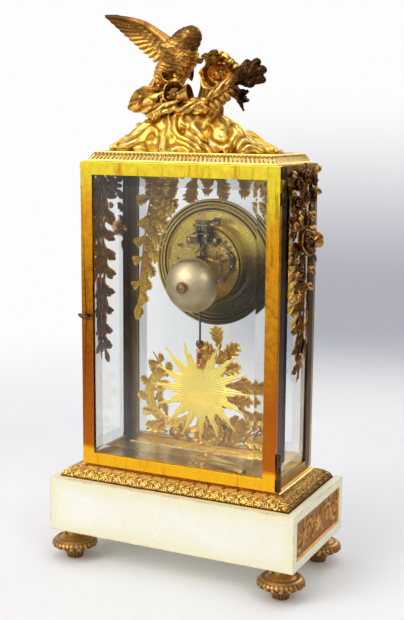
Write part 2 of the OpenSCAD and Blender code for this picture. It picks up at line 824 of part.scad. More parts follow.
// Olive knob outside, shaft through the stile and a tongue that turns behind the post.
module latch(front) {
    olive_l = 7;
    olive_r = 2.4;
    half_turn(front)
        color(brass)
            translate([latch_x, 0, latch_z]) {
                translate([0, cage_y + 6.5, 0])
                    rotate([90, 0, 0])
                        cylinder(h = 6.5 + door_t + fit + 3.6, r = latch_r);
                translate([0, cage_y + 1.6, 0])
                    rotate([90, 0, 0])
                        cylinder(h = 1.4, r = 3);
                translate([0, cage_y + 7.5, 0])
                    rotate([0, 90 - latch_tilt, 0])
                        rotate_extrude($fn = 32)
                            polygon([for (i = [0:12]) [olive_r * sin(15 * i), olive_l * cos(15 * i)]]);
                block([-1.4, 1.4], [inner_y - 3.6, inner_y - 1.2], [-5.4, 1.4]);
            }
}

module rear_door_frame() { door_frame(false); }
module rear_door_glass() { door_glass(false); }
module rear_latch() { latch(false); }
module front_door_frame() { door_frame(true); }
module front_door_glass() { door_glass(true); }
module front_latch() { latch(true); }

module hinge_pins() {
    color(brass)
        for (front = [false, true], z = hinge_foot)
            half_turn(front)
                translate([-hinge_x, hinge_y, z - 0.3])
                    cylinder(h = hinge_l + 0.3, r = pin_r);
}

module dial_bezel() {
    color(brass)
        at_movement([0, 0], flange_back)
            rotate_extrude($fn = 96)
                polygon([
                    [57.2, 0], [bezel_r, 0], [bezel_r, 2], [bezel_r - 0.6, 2.6], [62.2, 2.6], [62.2, 4.6], [61.4, 6.4],
                    [60, 7.2], [58.4, 6.9], [57.4, 5.8], [55.6, 4.6], [54.8, 3.8], [57.2, 3.8]
                ]);
}

module dial() {
    color("ivory")
        at_movement([0, 0], dial_y + dial_t)
            difference() {
                cylinder(h = dial_t, r = dial_r, $fn = 96);
                translate([0, 0, -1])
                    cylinder(h = dial_t + 2, r = 2.7);
                for (s = [-1, 1])
                    translate([s * barrel_at[0], barrel_at[1], -1])
                        cylinder(h = dial_t + 2, r = 2.9);
                translate([regulator_at[0], regulator_at[1], -1])
                    cylinder(h = dial_t + 2, r = 2);
            }
}

// Round case of the movement, spun in one piece with the pan behind the dial.
module drum() {
    depth = 20.8;
    color(brass)
        at_movement([0, 0], flange_back + depth)
            difference() {
                rotate_extrude($fn = 96)
                    polygon([
                        [39.8, 0], [40.6, -0.3], [41.2, 0.3], [41.2, depth - 3], [44, depth - 1.4], [55, depth - 1],
                        [59.4, depth - 1], [60, depth - 0.5], [60, depth], [40.2, depth], [40.2, 1]
                    ]);
                translate([regulator_at[0], regulator_at[1], depth - 4])
                    cylinder(h = 6, r = 1.9);
            }
}

module plate_holes(barrel_hole) {
    for (s = [-1, 1])
        translate([s * barrel_at[0], barrel_at[1], -1])
            cylinder(h = 8, r = barrel_hole);
    for (p = [[-second_at[0], second_at[1]], second_at, third_at, escape_at])
        translate([p[0], p[1], -1])
            cylinder(h = 8, r = pivot_r + pin_gap);
    translate([hammer_at[0], hammer_at[1], -1])
        cylinder(h = 8, r = 1 + pin_gap);
}

// Dial-side plate with its riveted pillars and the stud of the motion work.
module front_plate() {
    pillar_l = inside_back - inside_front;
    color(brass) {
        at_movement([0, 0], inside_front)
            difference() {
                union() {
                    cylinder(h = movement_plate_t, r = plate_r, $fn = 96);
                    translate([minute_at[0], minute_at[1], 0])
                        cylinder(h = movement_plate_t + 2.2, r = 0.6);
                    for (a = pillar_angles)
                        translate(concat(pillar_ring * [cos(a), sin(a)], -pillar_l))
                            cylinder(h = pillar_l + 0.5, r = pillar_r);
                    for (a = pillar_angles)
                        translate(concat(pillar_ring * [cos(a), sin(a)], -pillar_l - movement_plate_t - 1.6))
                            cylinder(h = movement_plate_t + 2, r = 1.2);
                }
                plate_holes(winding_r + pin_gap);
                for (p = [[0, 0], pallet_at])
                    translate([p[0], p[1], -1])
                        cylinder(h = 8, r = p == pallet_at ? pivot_r + pin_gap : 0.9 + pin_gap);
            }
    }
}

module back_plate() {
    color(brass)
        at_movement([0, 0], plate_back)
            difference() {
                union() {
                    cylinder(h = movement_plate_t, r = plate_r, $fn = 96);
                    for (a = pillar_angles)
                        translate(concat(pillar_ring * [cos(a), sin(a)], -1.4))
                            cylinder(h = 1.6, r = 2.6, $fn = 24);
                    for (p = [[27, -12], [-27, -12], [-22, -24], [20, 20]])
                        translate([p[0], p[1], -1])
                            cylinder(h = 1.2, r = 1.6, $fn = 16);
                }
                plate_holes(winding_r + pin_gap);
                translate([0, 0, -1])
                    cylinder(h = 8, r = pivot_r + pin_gap);
                translate([-second_at[0], second_at[1], -1])
                    cylinder(h = 8, r = arbor_r + pin_gap);
                translate([pallet_at[0], pallet_at[1], -1])
                    cylinder(h = 8, r = 3);
                for (a = pillar_angles)
                    translate(concat(pillar_ring * [cos(a), sin(a)], -3))
                        cylinder(h = 8, r = 1.2 + pin_gap);
            }
}

// A toothed wheel; arms > 0 crosses it out.
module wheel(teeth, m, h, arms) {
    rim = teeth * m / 2 - 1.15 * m - 1.1;
    hub = 2.6;
    linear_extrude(h)
        difference() {
            polygon(gear_outline(teeth, m));
            if (arms > 0)
                for (i = [0:arms - 1])
                    rotate(360 / arms * i)
                        polygon(concat(
                            arc(rim, 9, 360 / arms - 9, 5),
                            reversed(arc(hub, 26, 360 / arms - 26, 2))
                        ));
        }
}

// An arbor with its two pivots, from inside the front plate to inside the back plate.
module arbor(r) {
    run = inside_back - inside_front - 0.4;
    translate([0, 0, 0.2])
        cylinder(h = run, r = r, $fn = 24);
    translate([0, 0, -1.4])
        cylinder(h = run + 3.2, r = pivot_r, $fn = 24);
}

module barrel(p) {
    color(brass)
        at_movement(p, barrel_back)
            difference() {
                union() {
                    cylinder(h = barrel_back - barrel_y, r = 13.9);
                    translate([0, 0, barrel_back - barrel_y])
                        rotate(bearing(p, [sign(p[0]) * second_at[0], second_at[1]]))
                            wheel(barrel_teeth, great_module, 1.7, 0);
                }
                translate([0, 0, -1])
                    cylinder(h = 14, r = winding_r + pin_gap);
            }
}

// Barrel arbor: ratchet in front of the plate and a square that the key turns.
module winding_arbor(p) {
    front_end = -41.8;
    color(steel)
        at_movement(p, plate_back - 0.2) {
            cylinder(h = plate_back - 0.2 - front_plate_y, r = winding_r);
            translate([0, 0, plate_back - 0.2 - front_plate_y + 0.3])
                rotate(11)
                    linear_extrude(0.9)
                        polygon([for (i = [0:23], k = [0, 1]) (k == 0 ? 4.6 : 3.9) * [cos(15 * i + k), sin(15 * i + k)]]);
            translate([-1.35, -1.35, 20])
                cube([2.7, 2.7, plate_back - 0.2 - front_end - 20]);
        }
}

module going_barrel() { barrel(barrel_at); }
module going_winding_arbor() { winding_arbor(barrel_at); }
module strike_barrel() { barrel([-barrel_at[0], barrel_at[1]]); }
module strike_winding_arbor() { winding_arbor([-barrel_at[0], barrel_at[1]]); }

// Pinion that the great wheel drives, set so that one of its gaps takes the wheel's tooth.
module second_pinion(p) {
    barrel_p = [sign(p[0]) * barrel_at[0], barrel_at[1]];
    translate([0, 0, inside_back + 33.4])
        rotate(bearing(p, barrel_p) + half_tooth(second_pinion_teeth))
            wheel(second_pinion_teeth, great_module, 2.2, 0);
}

module intermediate_wheel() {
    color(brass)
        at_movement(second_at, inside_back) {
            arbor(arbor_r);
            second_pinion(second_at);
            translate([0, 0, 1.2])
                rotate(bearing(second_at, [0, 0]))
                    wheel(intermediate_teeth, great_module, 1.2, 5);
        }
}

// Centre arbor: nine-leaf pinion, centre wheel, and the cannon pinion in front of the plate.
module centre_wheel() {
    color(brass)
        at_movement([0, 0], inside_back) {
            arbor(0.9);
            translate([0, 0, 0.8])
                rotate(bearing([0, 0], second_at) + half_tooth(centre_pinion_teeth))
                    wheel(centre_pinion_teeth, great_module, 2, 0);
            translate([0, 0, 5.2])
                rotate(bearing([0, 0], third_at))
                    wheel(centre_teeth, centre_module, 0.8, 5);
            translate([0, 0, 18])
                cylinder(h = 9.6, r = 0.9);
            translate([0, 0, 21.3])
                rotate(bearing([0, 0], minute_at))
                    wheel(cannon_teeth, cannon_module, 0.9, 0);
            translate([0, 0, 22.1])
                cylinder(h = 4.6, r = 1.3);
        }
}

module third_wheel() {
    color(brass)
        at_movement(third_at, inside_back) {
            arbor(pivot_r);
            translate([0, 0, 4.8])
                rotate(bearing(third_at, [0, 0]) + half_tooth(third_pinion_teeth))
                    wheel(third_pinion_teeth, centre_module, 1.6, 0);
            translate([0, 0, 3])
                wheel(third_teeth, third_module, 0.8, 4);
        }
}

// Escape wheel with forty raked teeth.
module escape_wheel() {
    step = 360 / escape_teeth;
    color(brass)
        at_movement(escape_at, inside_back) {
            arbor(pivot_r);
            translate([0, 0, 1])
                wheel(escape_pinion_teeth, third_module, 1.6, 0);
            translate([0, 0, 12.6])
                linear_extrude(0.8)
                    difference() {
                        polygon([
                            for (i = [0:escape_teeth - 1], k = [0:2])
                                [escape_r - 1, escape_r, escape_r - 1][k]
                                    * [cos((i + [0, 0.1, 0.4][k]) * step), sin((i + [0, 0.1, 0.4][k]) * step)]
                        ]);
                        for (i = [0:3])
                            rotate(90 * i)
                                polygon(concat(arc(4.9, 12, 78, 5), reversed(arc(1.6, 24, 66, 2))));
                    }
        }
}

// Strike arbor through the back plate; the notches set how many blows each hour gets.
module count_wheel() {
    count_r = 17;
    blows = 90;
    color(brass)
        at_movement([-second_at[0], second_at[1]], inside_back) {
            arbor(arbor_r);
            second_pinion([-second_at[0], second_at[1]]);
            translate([0, 0, -4.6])
                cylinder(h = 5, r = arbor_r);
            translate([0, 0, -4.4])
                cylinder(h = 2, r = 2, $fn = 24);
            translate([0, 0, -3.4])
                linear_extrude(1)
                    difference() {
                        circle(count_r, $fn = 90);
                        for (n = [1:12])
                            rotate((n * (n + 1) / 2 + n) * 360 / blows)
                                polygon([[15.2, -0.5], [18, -0.8], [18, 0.8], [15.2, 0.5]]);
                        for (i = [0:4])
                            rotate(72 * i + 20)
                                polygon(concat(arc(13.4, 5, 67, 6), reversed(arc(3.4, 14, 58, 2))));
                    }
        }
}

module minute_wheel() {
    color(brass)
        at_movement(minute_at, -38.4)
            difference() {
                union() {
                    rotate(bearing(minute_at, [0, 0]) + half_tooth(minute_teeth))
                        wheel(minute_teeth, cannon_module, 0.8, 0);
                    translate([0, 0, 0.8])
                        rotate(bearing(minute_at, [0, 0]))
                            wheel(minute_pinion_teeth, hour_module, 1.1, 0);
                }
                translate([0, 0, -1])
                    cylinder(h = 4, r = 0.6 + pin_gap);
            }
}

// A pierced hand lying in the X-Y plane and pointing along +Y.
module hand(reach, eye, h) {
    linear_extrude(h) {
        difference() {
            union() {
                circle(3, $fn = 32);
                polygon([[-1, 2], [1, 2], [0.7, reach * 0.8], [0, reach], [-0.7, reach * 0.8]]);
                translate([0, reach * 0.62])
                    circle(eye, $fn = 32);
            }
            translate([0, reach * 0.62])
                circle(eye - 1.1, $fn = 32);
        }
        translate([0, reach * 0.62])
            polygon([[-0.4, -eye], [0.4, -eye], [0.4, eye], [-0.4, eye]]);
    }
}

module hour_hand() {
    color(steel)
        at_movement([0, 0], -39.5)
            difference() {
                union() {
                    rotate(bearing([0, 0], minute_at) + half_tooth(hour_teeth))
                        wheel(hour_teeth, hour_module, 0.8, 0);
                    cylinder(h = 3.9, r = 2.2);
                    translate([0, 0, 3.3])
                        rotate(-30 * (hour_shown + minute_shown / 60))
                            hand(30, 3.6, 0.6);
                }
                translate([0, 0, -1])
                    cylinder(h = 6, r = 1.3 + 0.08);
            }
}

module minute_hand() {
    color(steel)
        at_movement([0, 0], -43.9)
            difference() {
                union() {
                    rotate(-6 * minute_shown)
                        hand(46, 3.8, 0.6);
                    cylinder(h = 1, r = 2.2);
                }
                translate([0, 0, -1])
                    cylinder(h = 4, r = 0.9);
            }
}

// Pallet arbor: anchor inside the plates, crutch and fork outside them.
module anchor_crutch() {
    drop = 14;
    band = [8, 9.6];
    color(steel)
        at_movement(pallet_at, -10) {
            cylinder(h = 27.6, r = pivot_r, $fn = 24);
            translate([0, 0, 1.6])
                cylinder(h = 24.2, r = arbor_r, $fn = 24);
            translate([0, escape_at[1] - pallet_at[1], 19.4])
                linear_extrude(1.2)
                    polygon(concat(arc(band[1], 40, 140, 12), reversed(arc(band[0], 40, 140, 12))));
            translate([0, 0, 19.4])
                cylinder(h = 1.2, r = 2);
            translate([0, 0, 1.8])
                cylinder(h = 1.2, r = 2);
            translate([-1.2, -drop, 1.8])
                cube([2.4, drop, 1.2]);
            translate([-2.7, -drop - 2, 1.8])
                cube([5.4, 3, 1.2]);
            for (x = [-2.7, 1.5])
                translate([x, -drop - 2, -5.6])
                    cube([1.2, 3, 8]);
        }
}

// Cock screwed to the back plate, with the two chops that hold the suspension spring.
module back_cock() {
    bridge_y = -9.4;
    chop_back = -3.2;
    color(steel)
        translate([0, 0, dial_z])
            difference() {
                union() {
                    block([-17.5, 17.5], [-11.2, bridge_y], [21.4, 29]);
                    for (x = [[-17.5, -11.5], [11.5, 17.5]])
                        block(x, [plate_back, -11.2], [23, 29]);
                    block([-8.5, 5.5], [-11.2, chop_back], [24, 47]);
                    for (x = [-14.5, 14.5])
                        translate([x, bridge_y + 1, 26])
                            rotate([90, 0, 0])
                                cylinder(h = 1.4, r = 2, $fn = 24);
                }
                block([-0.5, 0.5], [bridge_y, 0], [20, 38]);
                translate([pallet_at[0], 0, pallet_at[1]])
                    rotate([90, 0, 0])
                        cylinder(h = 20, r = pivot_r + pin_gap);
                translate([regulator_at[0], 0, regulator_at[1]])
                    rotate([90, 0, 0])
                        cylinder(h = 20, r = 1.5 + pin_gap);
            }
}

module regulator_arbor() {
    color(steel)
        at_movement(regulator_at, -2.6) {
            cylinder(h = 38.2, r = 1.5);
            translate([0, 0, 29])
                cylinder(h = 3, r = 3.2);
            translate([-0.95, -0.95, 38])
                cube([1.9, 1.9, 1.2]);
        }
}

// Suspension spring, its lower brass, the steel rod and the round nut above the sunburst.
module pendulum_rod() {
    axis_z = dial_z + pallet_up;
    color(steel)
        translate([0, suspension_y, 0]) {
            block([-0.15, 0.15], [-2.2, 2.2], [axis_z - 6, axis_z + 1.6]);
            block([-2.6, 2.6], [-1.6, 1.6], [axis_z - 8, axis_z - 5]);
            translate([0, 0, bob_z + 34])
                cylinder(h = pendulum_l - 34 - 7, r = rod_r);
            translate([0, 0, bob_z + 46])
                rotate_extrude($fn = 32)
                    polygon([[0, 0], [3, 0], [4.2, 1.6], [4.2, 5.4], [3, 7], [0, 7]]);
        }
}

function ray_outline(l) = [
    [-3.4, 22], [-2.9, 0.55 * l], [-2.2, 0.57 * l], [-2, 0.74 * l], [-1.3, 0.76 * l], [-0.5, l],
    [0.5, l], [1.3, 0.76 * l], [2, 0.74 * l], [2.2, 0.57 * l], [2.9, 0.55 * l], [3.4, 22]
];

// Pressed sunburst: a thin dished disc, stepped rays and a stirrup for the rod.
module sunburst_bob() {
    disc_r = 27;
    color([0.93, 0.74, 0.22]) {
        translate([0, -8, bob_z])
            rotate([90, 0, 0]) {
                rotate_extrude($fn = 96)
                    polygon([
                        [0, 5], [12, 4.4], [20, 2.6], [disc_r, 0], [disc_r, 1.6], [21, 4.1], [12.6, 6], [0, 6.6]
                    ]);
                for (i = [0:rays - 1])
                    rotate(360 / rays * i)
                        linear_extrude(1.6)
                            polygon(ray_outline(i == 0 ? 44 : i % 2 == 0 ? ray_l : ray_l - 6));
            }
        translate([0, 0, bob_z + 24])
            difference() {
                block([-3.2, 3.2], [-9.6, -4.4], [0, 21.6]);
                block([-2, 2], [-9.8, -4.2], [6, 10]);
                translate([0, suspension_y, 10])
                    cylinder(h = 14, r = rod_r);
            }
    }
}

// Bent post that passes beside the pendulum and carries the bell on a collar.
module bell_stand() {
    color(steel) {
        translate([bell_post_x, plate_back, dial_z - 30]) {
            translate([-4, 0, -3.4])
                cube([8, 2, 6.8]);
            translate([0, 20, 0])
                rotate([90, 0, 0])
                    cylinder(h = 19, r = 2.1);
        }
        hull()
            for (p = [[bell_post_x, dial_z - 30], [0, bell_z]])
                translate([p[0], 6.4, p[1]])
                    rotate([90, 0, 0])
                        cylinder(h = 4, r = 2.4, $fn = 32);
        translate([0, 37.6, bell_z])
            rotate([90, 0, 0])
                cylinder(h = 33, r = 2);
        translate([0, bell_rim_y + bell_depth - bell_wall - 0.3, bell_z])
            rotate([90, 0, 0])
                cylinder(h = 2.4, r = 4);
        translate([0, bell_rim_y + bell_depth + 3.8, bell_z])
            rotate([90, 0, 0])
                difference() {
                    cylinder(h = 3.8, r = 5.4);
                    translate([0, 0, -1])
                        cylinder(h = 6, r = 2);
                }
    }
}

// Thin bell whose mouth faces the movement.
module bell() {
    inner = [for (i = [0:12]) [(bell_r - bell_wall) * cos(7.5 * i), (bell_depth - bell_wall) * sin(7.5 * i)]];
    outer = [for (i = [0:12]) [bell_r * cos(7.5 * i), bell_depth * sin(7.5 * i)]];
    color([0.72, 0.70, 0.62])
        translate([0, bell_rim_y, bell_z])
            rotate([-90, 0, 0])
                difference() {
                    rotate_extrude($fn = 96)
                        polygon(concat(outer, reversed(inner)));
                    translate([0, 0, 5])
                        cylinder(h = 30, r = 2.1);
                }
}

module hammer() {
    head = [-0.9, -19.4];
    color(steel)
        at_movement(hammer_at, 13) {
            cylinder(h = 50.2, r = 1);
            linear_extrude(2.2)
                polygon([[-1.7, 1.8], [1.7, 1.8], [head[0] + 1.1, head[1]], [head[0] - 1.1, head[1]]]);
            translate([head[0], head[1], -1])
                cylinder(h = 6, r = 3);
            translate([0, 0, 24.8])
                linear_extrude(1.2)
                    polygon([[-1.8, -9], [-0.4, -9], [1.8, 0], [3.4, 7], [1.6, 8.4], [-1.8, 1]]);
        }
}

// Winding key left on the floor of the case.
module winding_key() {
    wing_r = 12;
    key_t = 3;
    color(brass)
        translate([-2, -12, z_floor])
            rotate(155) {
                linear_extrude(key_t)
                    difference() {
                        union() {
                            circle(wing_r);
                            translate([6, 0])
                                circle(wing_r - 1);
                        }
                        circle(wing_r - 4.6);
                        translate([-wing_r - 2, -wing_r])
                            square([9, 2 * wing_r]);
                    }
                translate([14, 0, 3.2])
                    rotate([0, 90, 0])
                        difference() {
                            cylinder(h = 52, r = 3.2);
                            translate([-1.4, -1.4, 42])
                                cube([2.8, 2.8, 12]);
                        }
            }
}

foot_front_left();
foot_front_right();
foot_rear_left();
foot_rear_right();
marble_plinth();
side_friezes();
front_frieze();
base_moulding();
bottom_frame();
floor_plate();
post_front_left();
post_front_right();
post_rear_left();
post_rear_right();
side_glass_left();
side_glass_right();
top_frame();
cornice();
finial_rock();
finial_bird();
finial_wing();
finial_basket();
finial_torch();
side_garland_left();
side_garland_right();
front_garland();
front_trophy();
rear_door_frame();
rear_door_glass();
rear_latch();
front_door_frame();
front_door_glass();
front_latch();
hinge_pins();
dial_bezel();
dial();
drum();
front_plate();
back_plate();
going_barrel();
going_winding_arbor();
intermediate_wheel();
centre_wheel();
third_wheel();
escape_wheel();
strike_barrel();
strike_winding_arbor();
count_wheel();
minute_wheel();
hour_hand();
minute_hand();
anchor_crutch();
back_cock();
regulator_arbor();
pendulum_rod();
sunburst_bob();
bell_stand();
bell();
hammer();
winding_key();
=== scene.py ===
"""Looks of a glazed cage clock on a marble plinth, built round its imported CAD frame."""

import logging
import math
from collections.abc import Callable
from dataclasses import dataclass
from enum import Enum

import bmesh
import bpy
import numpy as np
from mathutils import Matrix, Vector


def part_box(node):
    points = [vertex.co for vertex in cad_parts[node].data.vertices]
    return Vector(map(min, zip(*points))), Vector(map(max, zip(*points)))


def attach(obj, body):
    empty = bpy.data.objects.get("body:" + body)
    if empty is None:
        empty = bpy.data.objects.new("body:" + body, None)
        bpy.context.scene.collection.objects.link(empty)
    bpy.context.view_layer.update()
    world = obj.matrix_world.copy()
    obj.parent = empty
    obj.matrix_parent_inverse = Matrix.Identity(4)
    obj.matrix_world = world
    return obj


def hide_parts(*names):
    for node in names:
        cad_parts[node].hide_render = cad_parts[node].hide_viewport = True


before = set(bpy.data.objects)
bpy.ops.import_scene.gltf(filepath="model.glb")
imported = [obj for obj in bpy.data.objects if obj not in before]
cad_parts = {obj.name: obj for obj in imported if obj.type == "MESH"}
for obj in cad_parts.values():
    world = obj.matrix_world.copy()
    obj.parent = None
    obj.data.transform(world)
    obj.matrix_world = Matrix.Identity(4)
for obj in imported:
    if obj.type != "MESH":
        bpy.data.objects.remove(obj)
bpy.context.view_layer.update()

LOG = logging.getLogger("cage_clock")
MM = 0.001
WELD = 2e-6
Array = np.ndarray
Socket = bpy.types.NodeSocket
Colour = tuple[float, float, float]
Triple = tuple[float, float, float]
Pair = tuple[float, float]
Relief = tuple[Array, Array]
Shaper = Callable[..., Relief]
ALONG_X = (1.0, 0.0, 0.0)
FRONT = (0, -1, 0)
REAR = (0, 1, 0)
UP = (0, 0, 1)


class Slot(Enum):
    """Material slots of the record."""

    GILT = "gilt_bronze"
    DARK_GILT = "dark_gilt"
    LACQUER = "lacquered_brass"
    BRASS = "polished_brass"
    SUN = "sun_gilding"
    STEEL = "blued_steel"
    BELL = "bell_metal"
    MARBLE = "white_marble"
    GLASS = "bevelled_glass"
    ENAMEL = "enamel"


class Side(Enum):
    """The two ends of the case."""

    LEFT = -1
    RIGHT = 1


# Shader graphs.


class Graph:
    """Places and wires the nodes of one shader tree."""

    def __init__(self, tree: bpy.types.NodeTree) -> None:
        """Works on the given tree."""
        self.tree = tree

    def add(self, kind: str, **settings: object) -> bpy.types.Node:
        """Adds a shader node.

        Args:
            kind: the node type without its "ShaderNode" start.
            settings: properties of the node.

        Returns:
            The new node.
        """
        node = self.tree.nodes.new("ShaderNode" + kind)
        for name, value in settings.items():
            setattr(node, name, value)
        return node

    def feed(self, socket: Socket, value: object) -> None:
        """Links a socket to another, or sets its plain value."""
        if isinstance(value, Socket):
            self.tree.links.new(value, socket)
        elif socket.type == "RGBA":
            socket.default_value = (*value, 1.0) if len(value) == 3 else value
        else:
            socket.default_value = value

    def fill(self, node: bpy.types.Node, **values: object) -> bpy.types.Node:
        """Feeds a node's inputs by name, with _ for a space."""
        for name, value in values.items():
            self.feed(node.inputs[name.replace("_", " ")], value)
        return node

    def math(
            self, operation: str, first: object, second: object = 0.0,
            clamp: bool = False) -> Socket:
        """Does one sum on two numbers or sockets.

        Args:
            operation: the Math node's operation.
            first: first number or socket.
            second: second number or socket.
            clamp: whether the result stays within 0 and 1.

        Returns:
            The result's socket.
        """
        node = self.add("Math", operation=operation, use_clamp=clamp)
        self.feed(node.inputs[0], first)
        self.feed(node.inputs[1], second)
        return node.outputs[0]

    def plus(self, first: object, second: object, clamp: bool = False) -> Socket:
        """The sum of two numbers or sockets."""
        return self.math("ADD", first, second, clamp)

    def minus(self, first: object, second: object) -> Socket:
        """The difference of two numbers or sockets."""
        return self.math("SUBTRACT", first, second)

    def times(self, first: object, second: object, clamp: bool = False) -> Socket:
        """The product of two numbers or sockets."""
        return self.math("MULTIPLY", first, second, clamp)

    def dot(self, first: object, second: object) -> Socket:
        """The dot product of two vectors."""
        node = self.add("VectorMath", operation="DOT_PRODUCT")
        self.feed(node.inputs[0], first)
        self.feed(node.inputs[1], second)
        return node.outputs["Value"]

    def split(self, vector: Socket) -> list[Socket]:
        """The three parts of a vector."""
        return list(self.fill(self.add("SeparateXYZ"), Vector=vector).outputs)

    def span(
            self, value: object, low: object, high: object, to_low: object = 0.0,
            to_high: object = 1.0) -> Socket:
        """Maps low..high smoothly to to_low..to_high.

        Args:
            value: the number that is mapped.
            low: value that gives to_low.
            high: value that gives to_high.
            to_low: result at low.
            to_high: result at high.

        Returns:
            The result's socket.
        """
        node = self.add("MapRange", interpolation_type="SMOOTHSTEP")
        for index, entry in enumerate((value, low, high, to_low, to_high)):
            self.feed(node.inputs[index], entry)
        return node.outputs[0]

    def blend(self, factor: object, first: object, second: object, mode: str = "MIX") -> Socket:
        """Mixes two colours.

        Args:
            factor: share of the second colour.
            first: colour at factor 0.
            second: colour at factor 1.
            mode: the Mix node's blend type.

        Returns:
            The mixed colour's socket.
        """
        node = self.add("Mix", data_type="RGBA", blend_type=mode, clamp_factor=True)
        self.feed(node.inputs[0], factor)
        self.feed(node.inputs[6], first)
        self.feed(node.inputs[7], second)
        return node.outputs[2]

    def place(self, stretch: Triple = (1.0, 1.0, 1.0)) -> Socket:
        """The surface's own coordinates in metres, stretched along each axis."""
        coordinates = self.add("TexCoord").outputs["Object"]
        return self.fill(self.add("Mapping"), Vector=coordinates, Scale=stretch).outputs[0]

    def noise(
            self, vector: object, scale: object, detail: float = 3.0, rough: float = 0.55,
            warp: float = 0.0) -> Socket:
        """Fractal noise between about 0.25 and 0.75.

        Args:
            vector: coordinates to read it at.
            scale: features per metre.
            detail: octaves.
            rough: strength of the finer octaves.
            warp: how far the noise bends itself.

        Returns:
            The noise value's socket.
        """
        node = self.add("TexNoise")
        self.fill(node, Vector=vector, Scale=scale, Detail=detail, Roughness=rough, Distortion=warp)
        return node.outputs[0]

    def group(self, tree: bpy.types.NodeTree, **values: object) -> bpy.types.Node:
        """Places a node group and sets its inputs by name, with _ for a space."""
        return self.fill(self.add("Group", node_tree=tree), **values)


def new_group(name: str, inputs: dict[str, object], outputs: dict[str, str]) -> tuple[
        Graph, bpy.types.Node, bpy.types.Node]:
    """Makes an empty node group with named sockets.

    Args:
        name: the group's name.
        inputs: socket name to default value, a number or a colour.
        outputs: socket name to socket kind.

    Returns:
        The group's graph, its input node and its output node.
    """
    tree = bpy.data.node_groups.new(name, "ShaderNodeTree")
    for label, value in inputs.items():
        kind = "Float" if isinstance(value, (int, float)) else "Color"
        socket = tree.interface.new_socket(label, in_out="INPUT", socket_type="NodeSocket" + kind)
        socket.default_value = value if kind == "Float" else (*value, 1.0)
    for label, kind in outputs.items():
        tree.interface.new_socket(label, in_out="OUTPUT", socket_type="NodeSocket" + kind)
    return Graph(tree), tree.nodes.new("NodeGroupInput"), tree.nodes.new("NodeGroupOutput")


class Groups:
    """The shader effects that several finishes share, each built once."""

    def __init__(self) -> None:
        """Builds the groups."""
        self.specks = self._specks()
        self.ageing = self._ageing()
        self.grain = self._grain()

    def _specks(self) -> bpy.types.NodeTree:
        """Small scattered spots: tarnish on metal, flecks in stone."""
        graph, given, result = new_group(
            "specks", {"Scale": 400.0, "Amount": 0.3}, {"Mask": "Float"})
        cells = graph.fill(
            graph.add("TexVoronoi", feature="F1"), Vector=graph.place(),
            Scale=given.outputs["Scale"])
        patches = graph.noise(graph.place(), graph.times(given.outputs["Scale"], 0.12), 2.0)
        reach = graph.times(
            graph.span(patches, 0.38, 0.7), graph.times(given.outputs["Amount"], 0.5))
        edge = graph.minus(reach, cells.outputs["Distance"])
        graph.feed(result.inputs["Mask"], graph.span(edge, -0.02, 0.08))
        return graph.tree

    def _ageing(self) -> bpy.types.NodeTree:
        """Gilding that is dark in its hollows, rubbed bright on its heights, and patchy."""
        graph, given, result = new_group(
            "aged_gilding",
            {"Gold": (0.8, 0.55, 0.2), "Hollow": (0.1, 0.05, 0.02), "Rubbed": (1.0, 0.8, 0.4),
            "Green": (0.25, 0.3, 0.16), "Cavity": 0.5, "Dirt": 0.6, "Patina": 0.2, "Scale": 60.0},
            {"Colour": "Color", "Gloss": "Float", "Height": "Float"})
        place, gold, scale = graph.place(), given.outputs["Gold"], given.outputs["Scale"]
        large = graph.noise(place, scale, 3.0, 0.6, 0.4)
        fine = graph.noise(place, graph.times(scale, 9.0), 3.0, 0.65)
        warm = graph.blend(
            graph.span(large, 0.36, 0.66), gold, graph.blend(0.55, gold, (0.62, 0.27, 0.06)))
        depth = graph.plus(given.outputs["Cavity"], graph.times(graph.minus(fine, 0.5), 0.5))
        dirty = graph.times(graph.span(depth, 0.62, 0.18), given.outputs["Dirt"], True)
        wear_and_tone = graph.times(graph.span(depth, 0.6, 0.92), graph.span(large, 0.3, 0.6), True)
        patches = graph.noise(place, graph.times(scale, 1.7), 3.0, 0.6, 0.8)
        green = graph.times(graph.span(patches, 0.52, 0.68), given.outputs["Patina"], True)
        colour = graph.blend(wear_and_tone, warm, given.outputs["Rubbed"])
        colour = graph.blend(green, colour, given.outputs["Green"])
        graph.feed(result.inputs["Colour"], graph.blend(dirty, colour, given.outputs["Hollow"]))
        rough = graph.plus(graph.times(dirty, 0.6), graph.times(green, 0.4))
        graph.feed(result.inputs["Gloss"], graph.plus(rough, graph.times(fine, 0.4), True))
        graph.feed(result.inputs["Height"], graph.plus(fine, graph.times(large, 0.6)))
        return graph.tree

    def _grain(self) -> bpy.types.NodeTree:
        """Fine drawn grain with softer cloudy variation under it."""
        graph, given, result = new_group("drawn_grain", {"Scale": 300.0, "Stretch": 8.0},
                                         {"Mask": "Float", "Cloud": "Float"})
        place, stretch = graph.add("TexCoord").outputs["Object"], given.outputs["Stretch"]
        x, y, z = graph.split(place)
        joined = graph.fill(
            graph.add("CombineXYZ"), X=graph.times(x, stretch), Y=graph.times(y, stretch), Z=z)
        graph.feed(
            result.inputs["Mask"], graph.noise(joined.outputs[0], given.outputs["Scale"], 4.0, 0.6))
        cloud = graph.noise(place, graph.times(given.outputs["Scale"], 0.12), 4.0, 0.6, 0.6)
        graph.feed(result.inputs["Cloud"], cloud)
        return graph.tree


# Finishes.


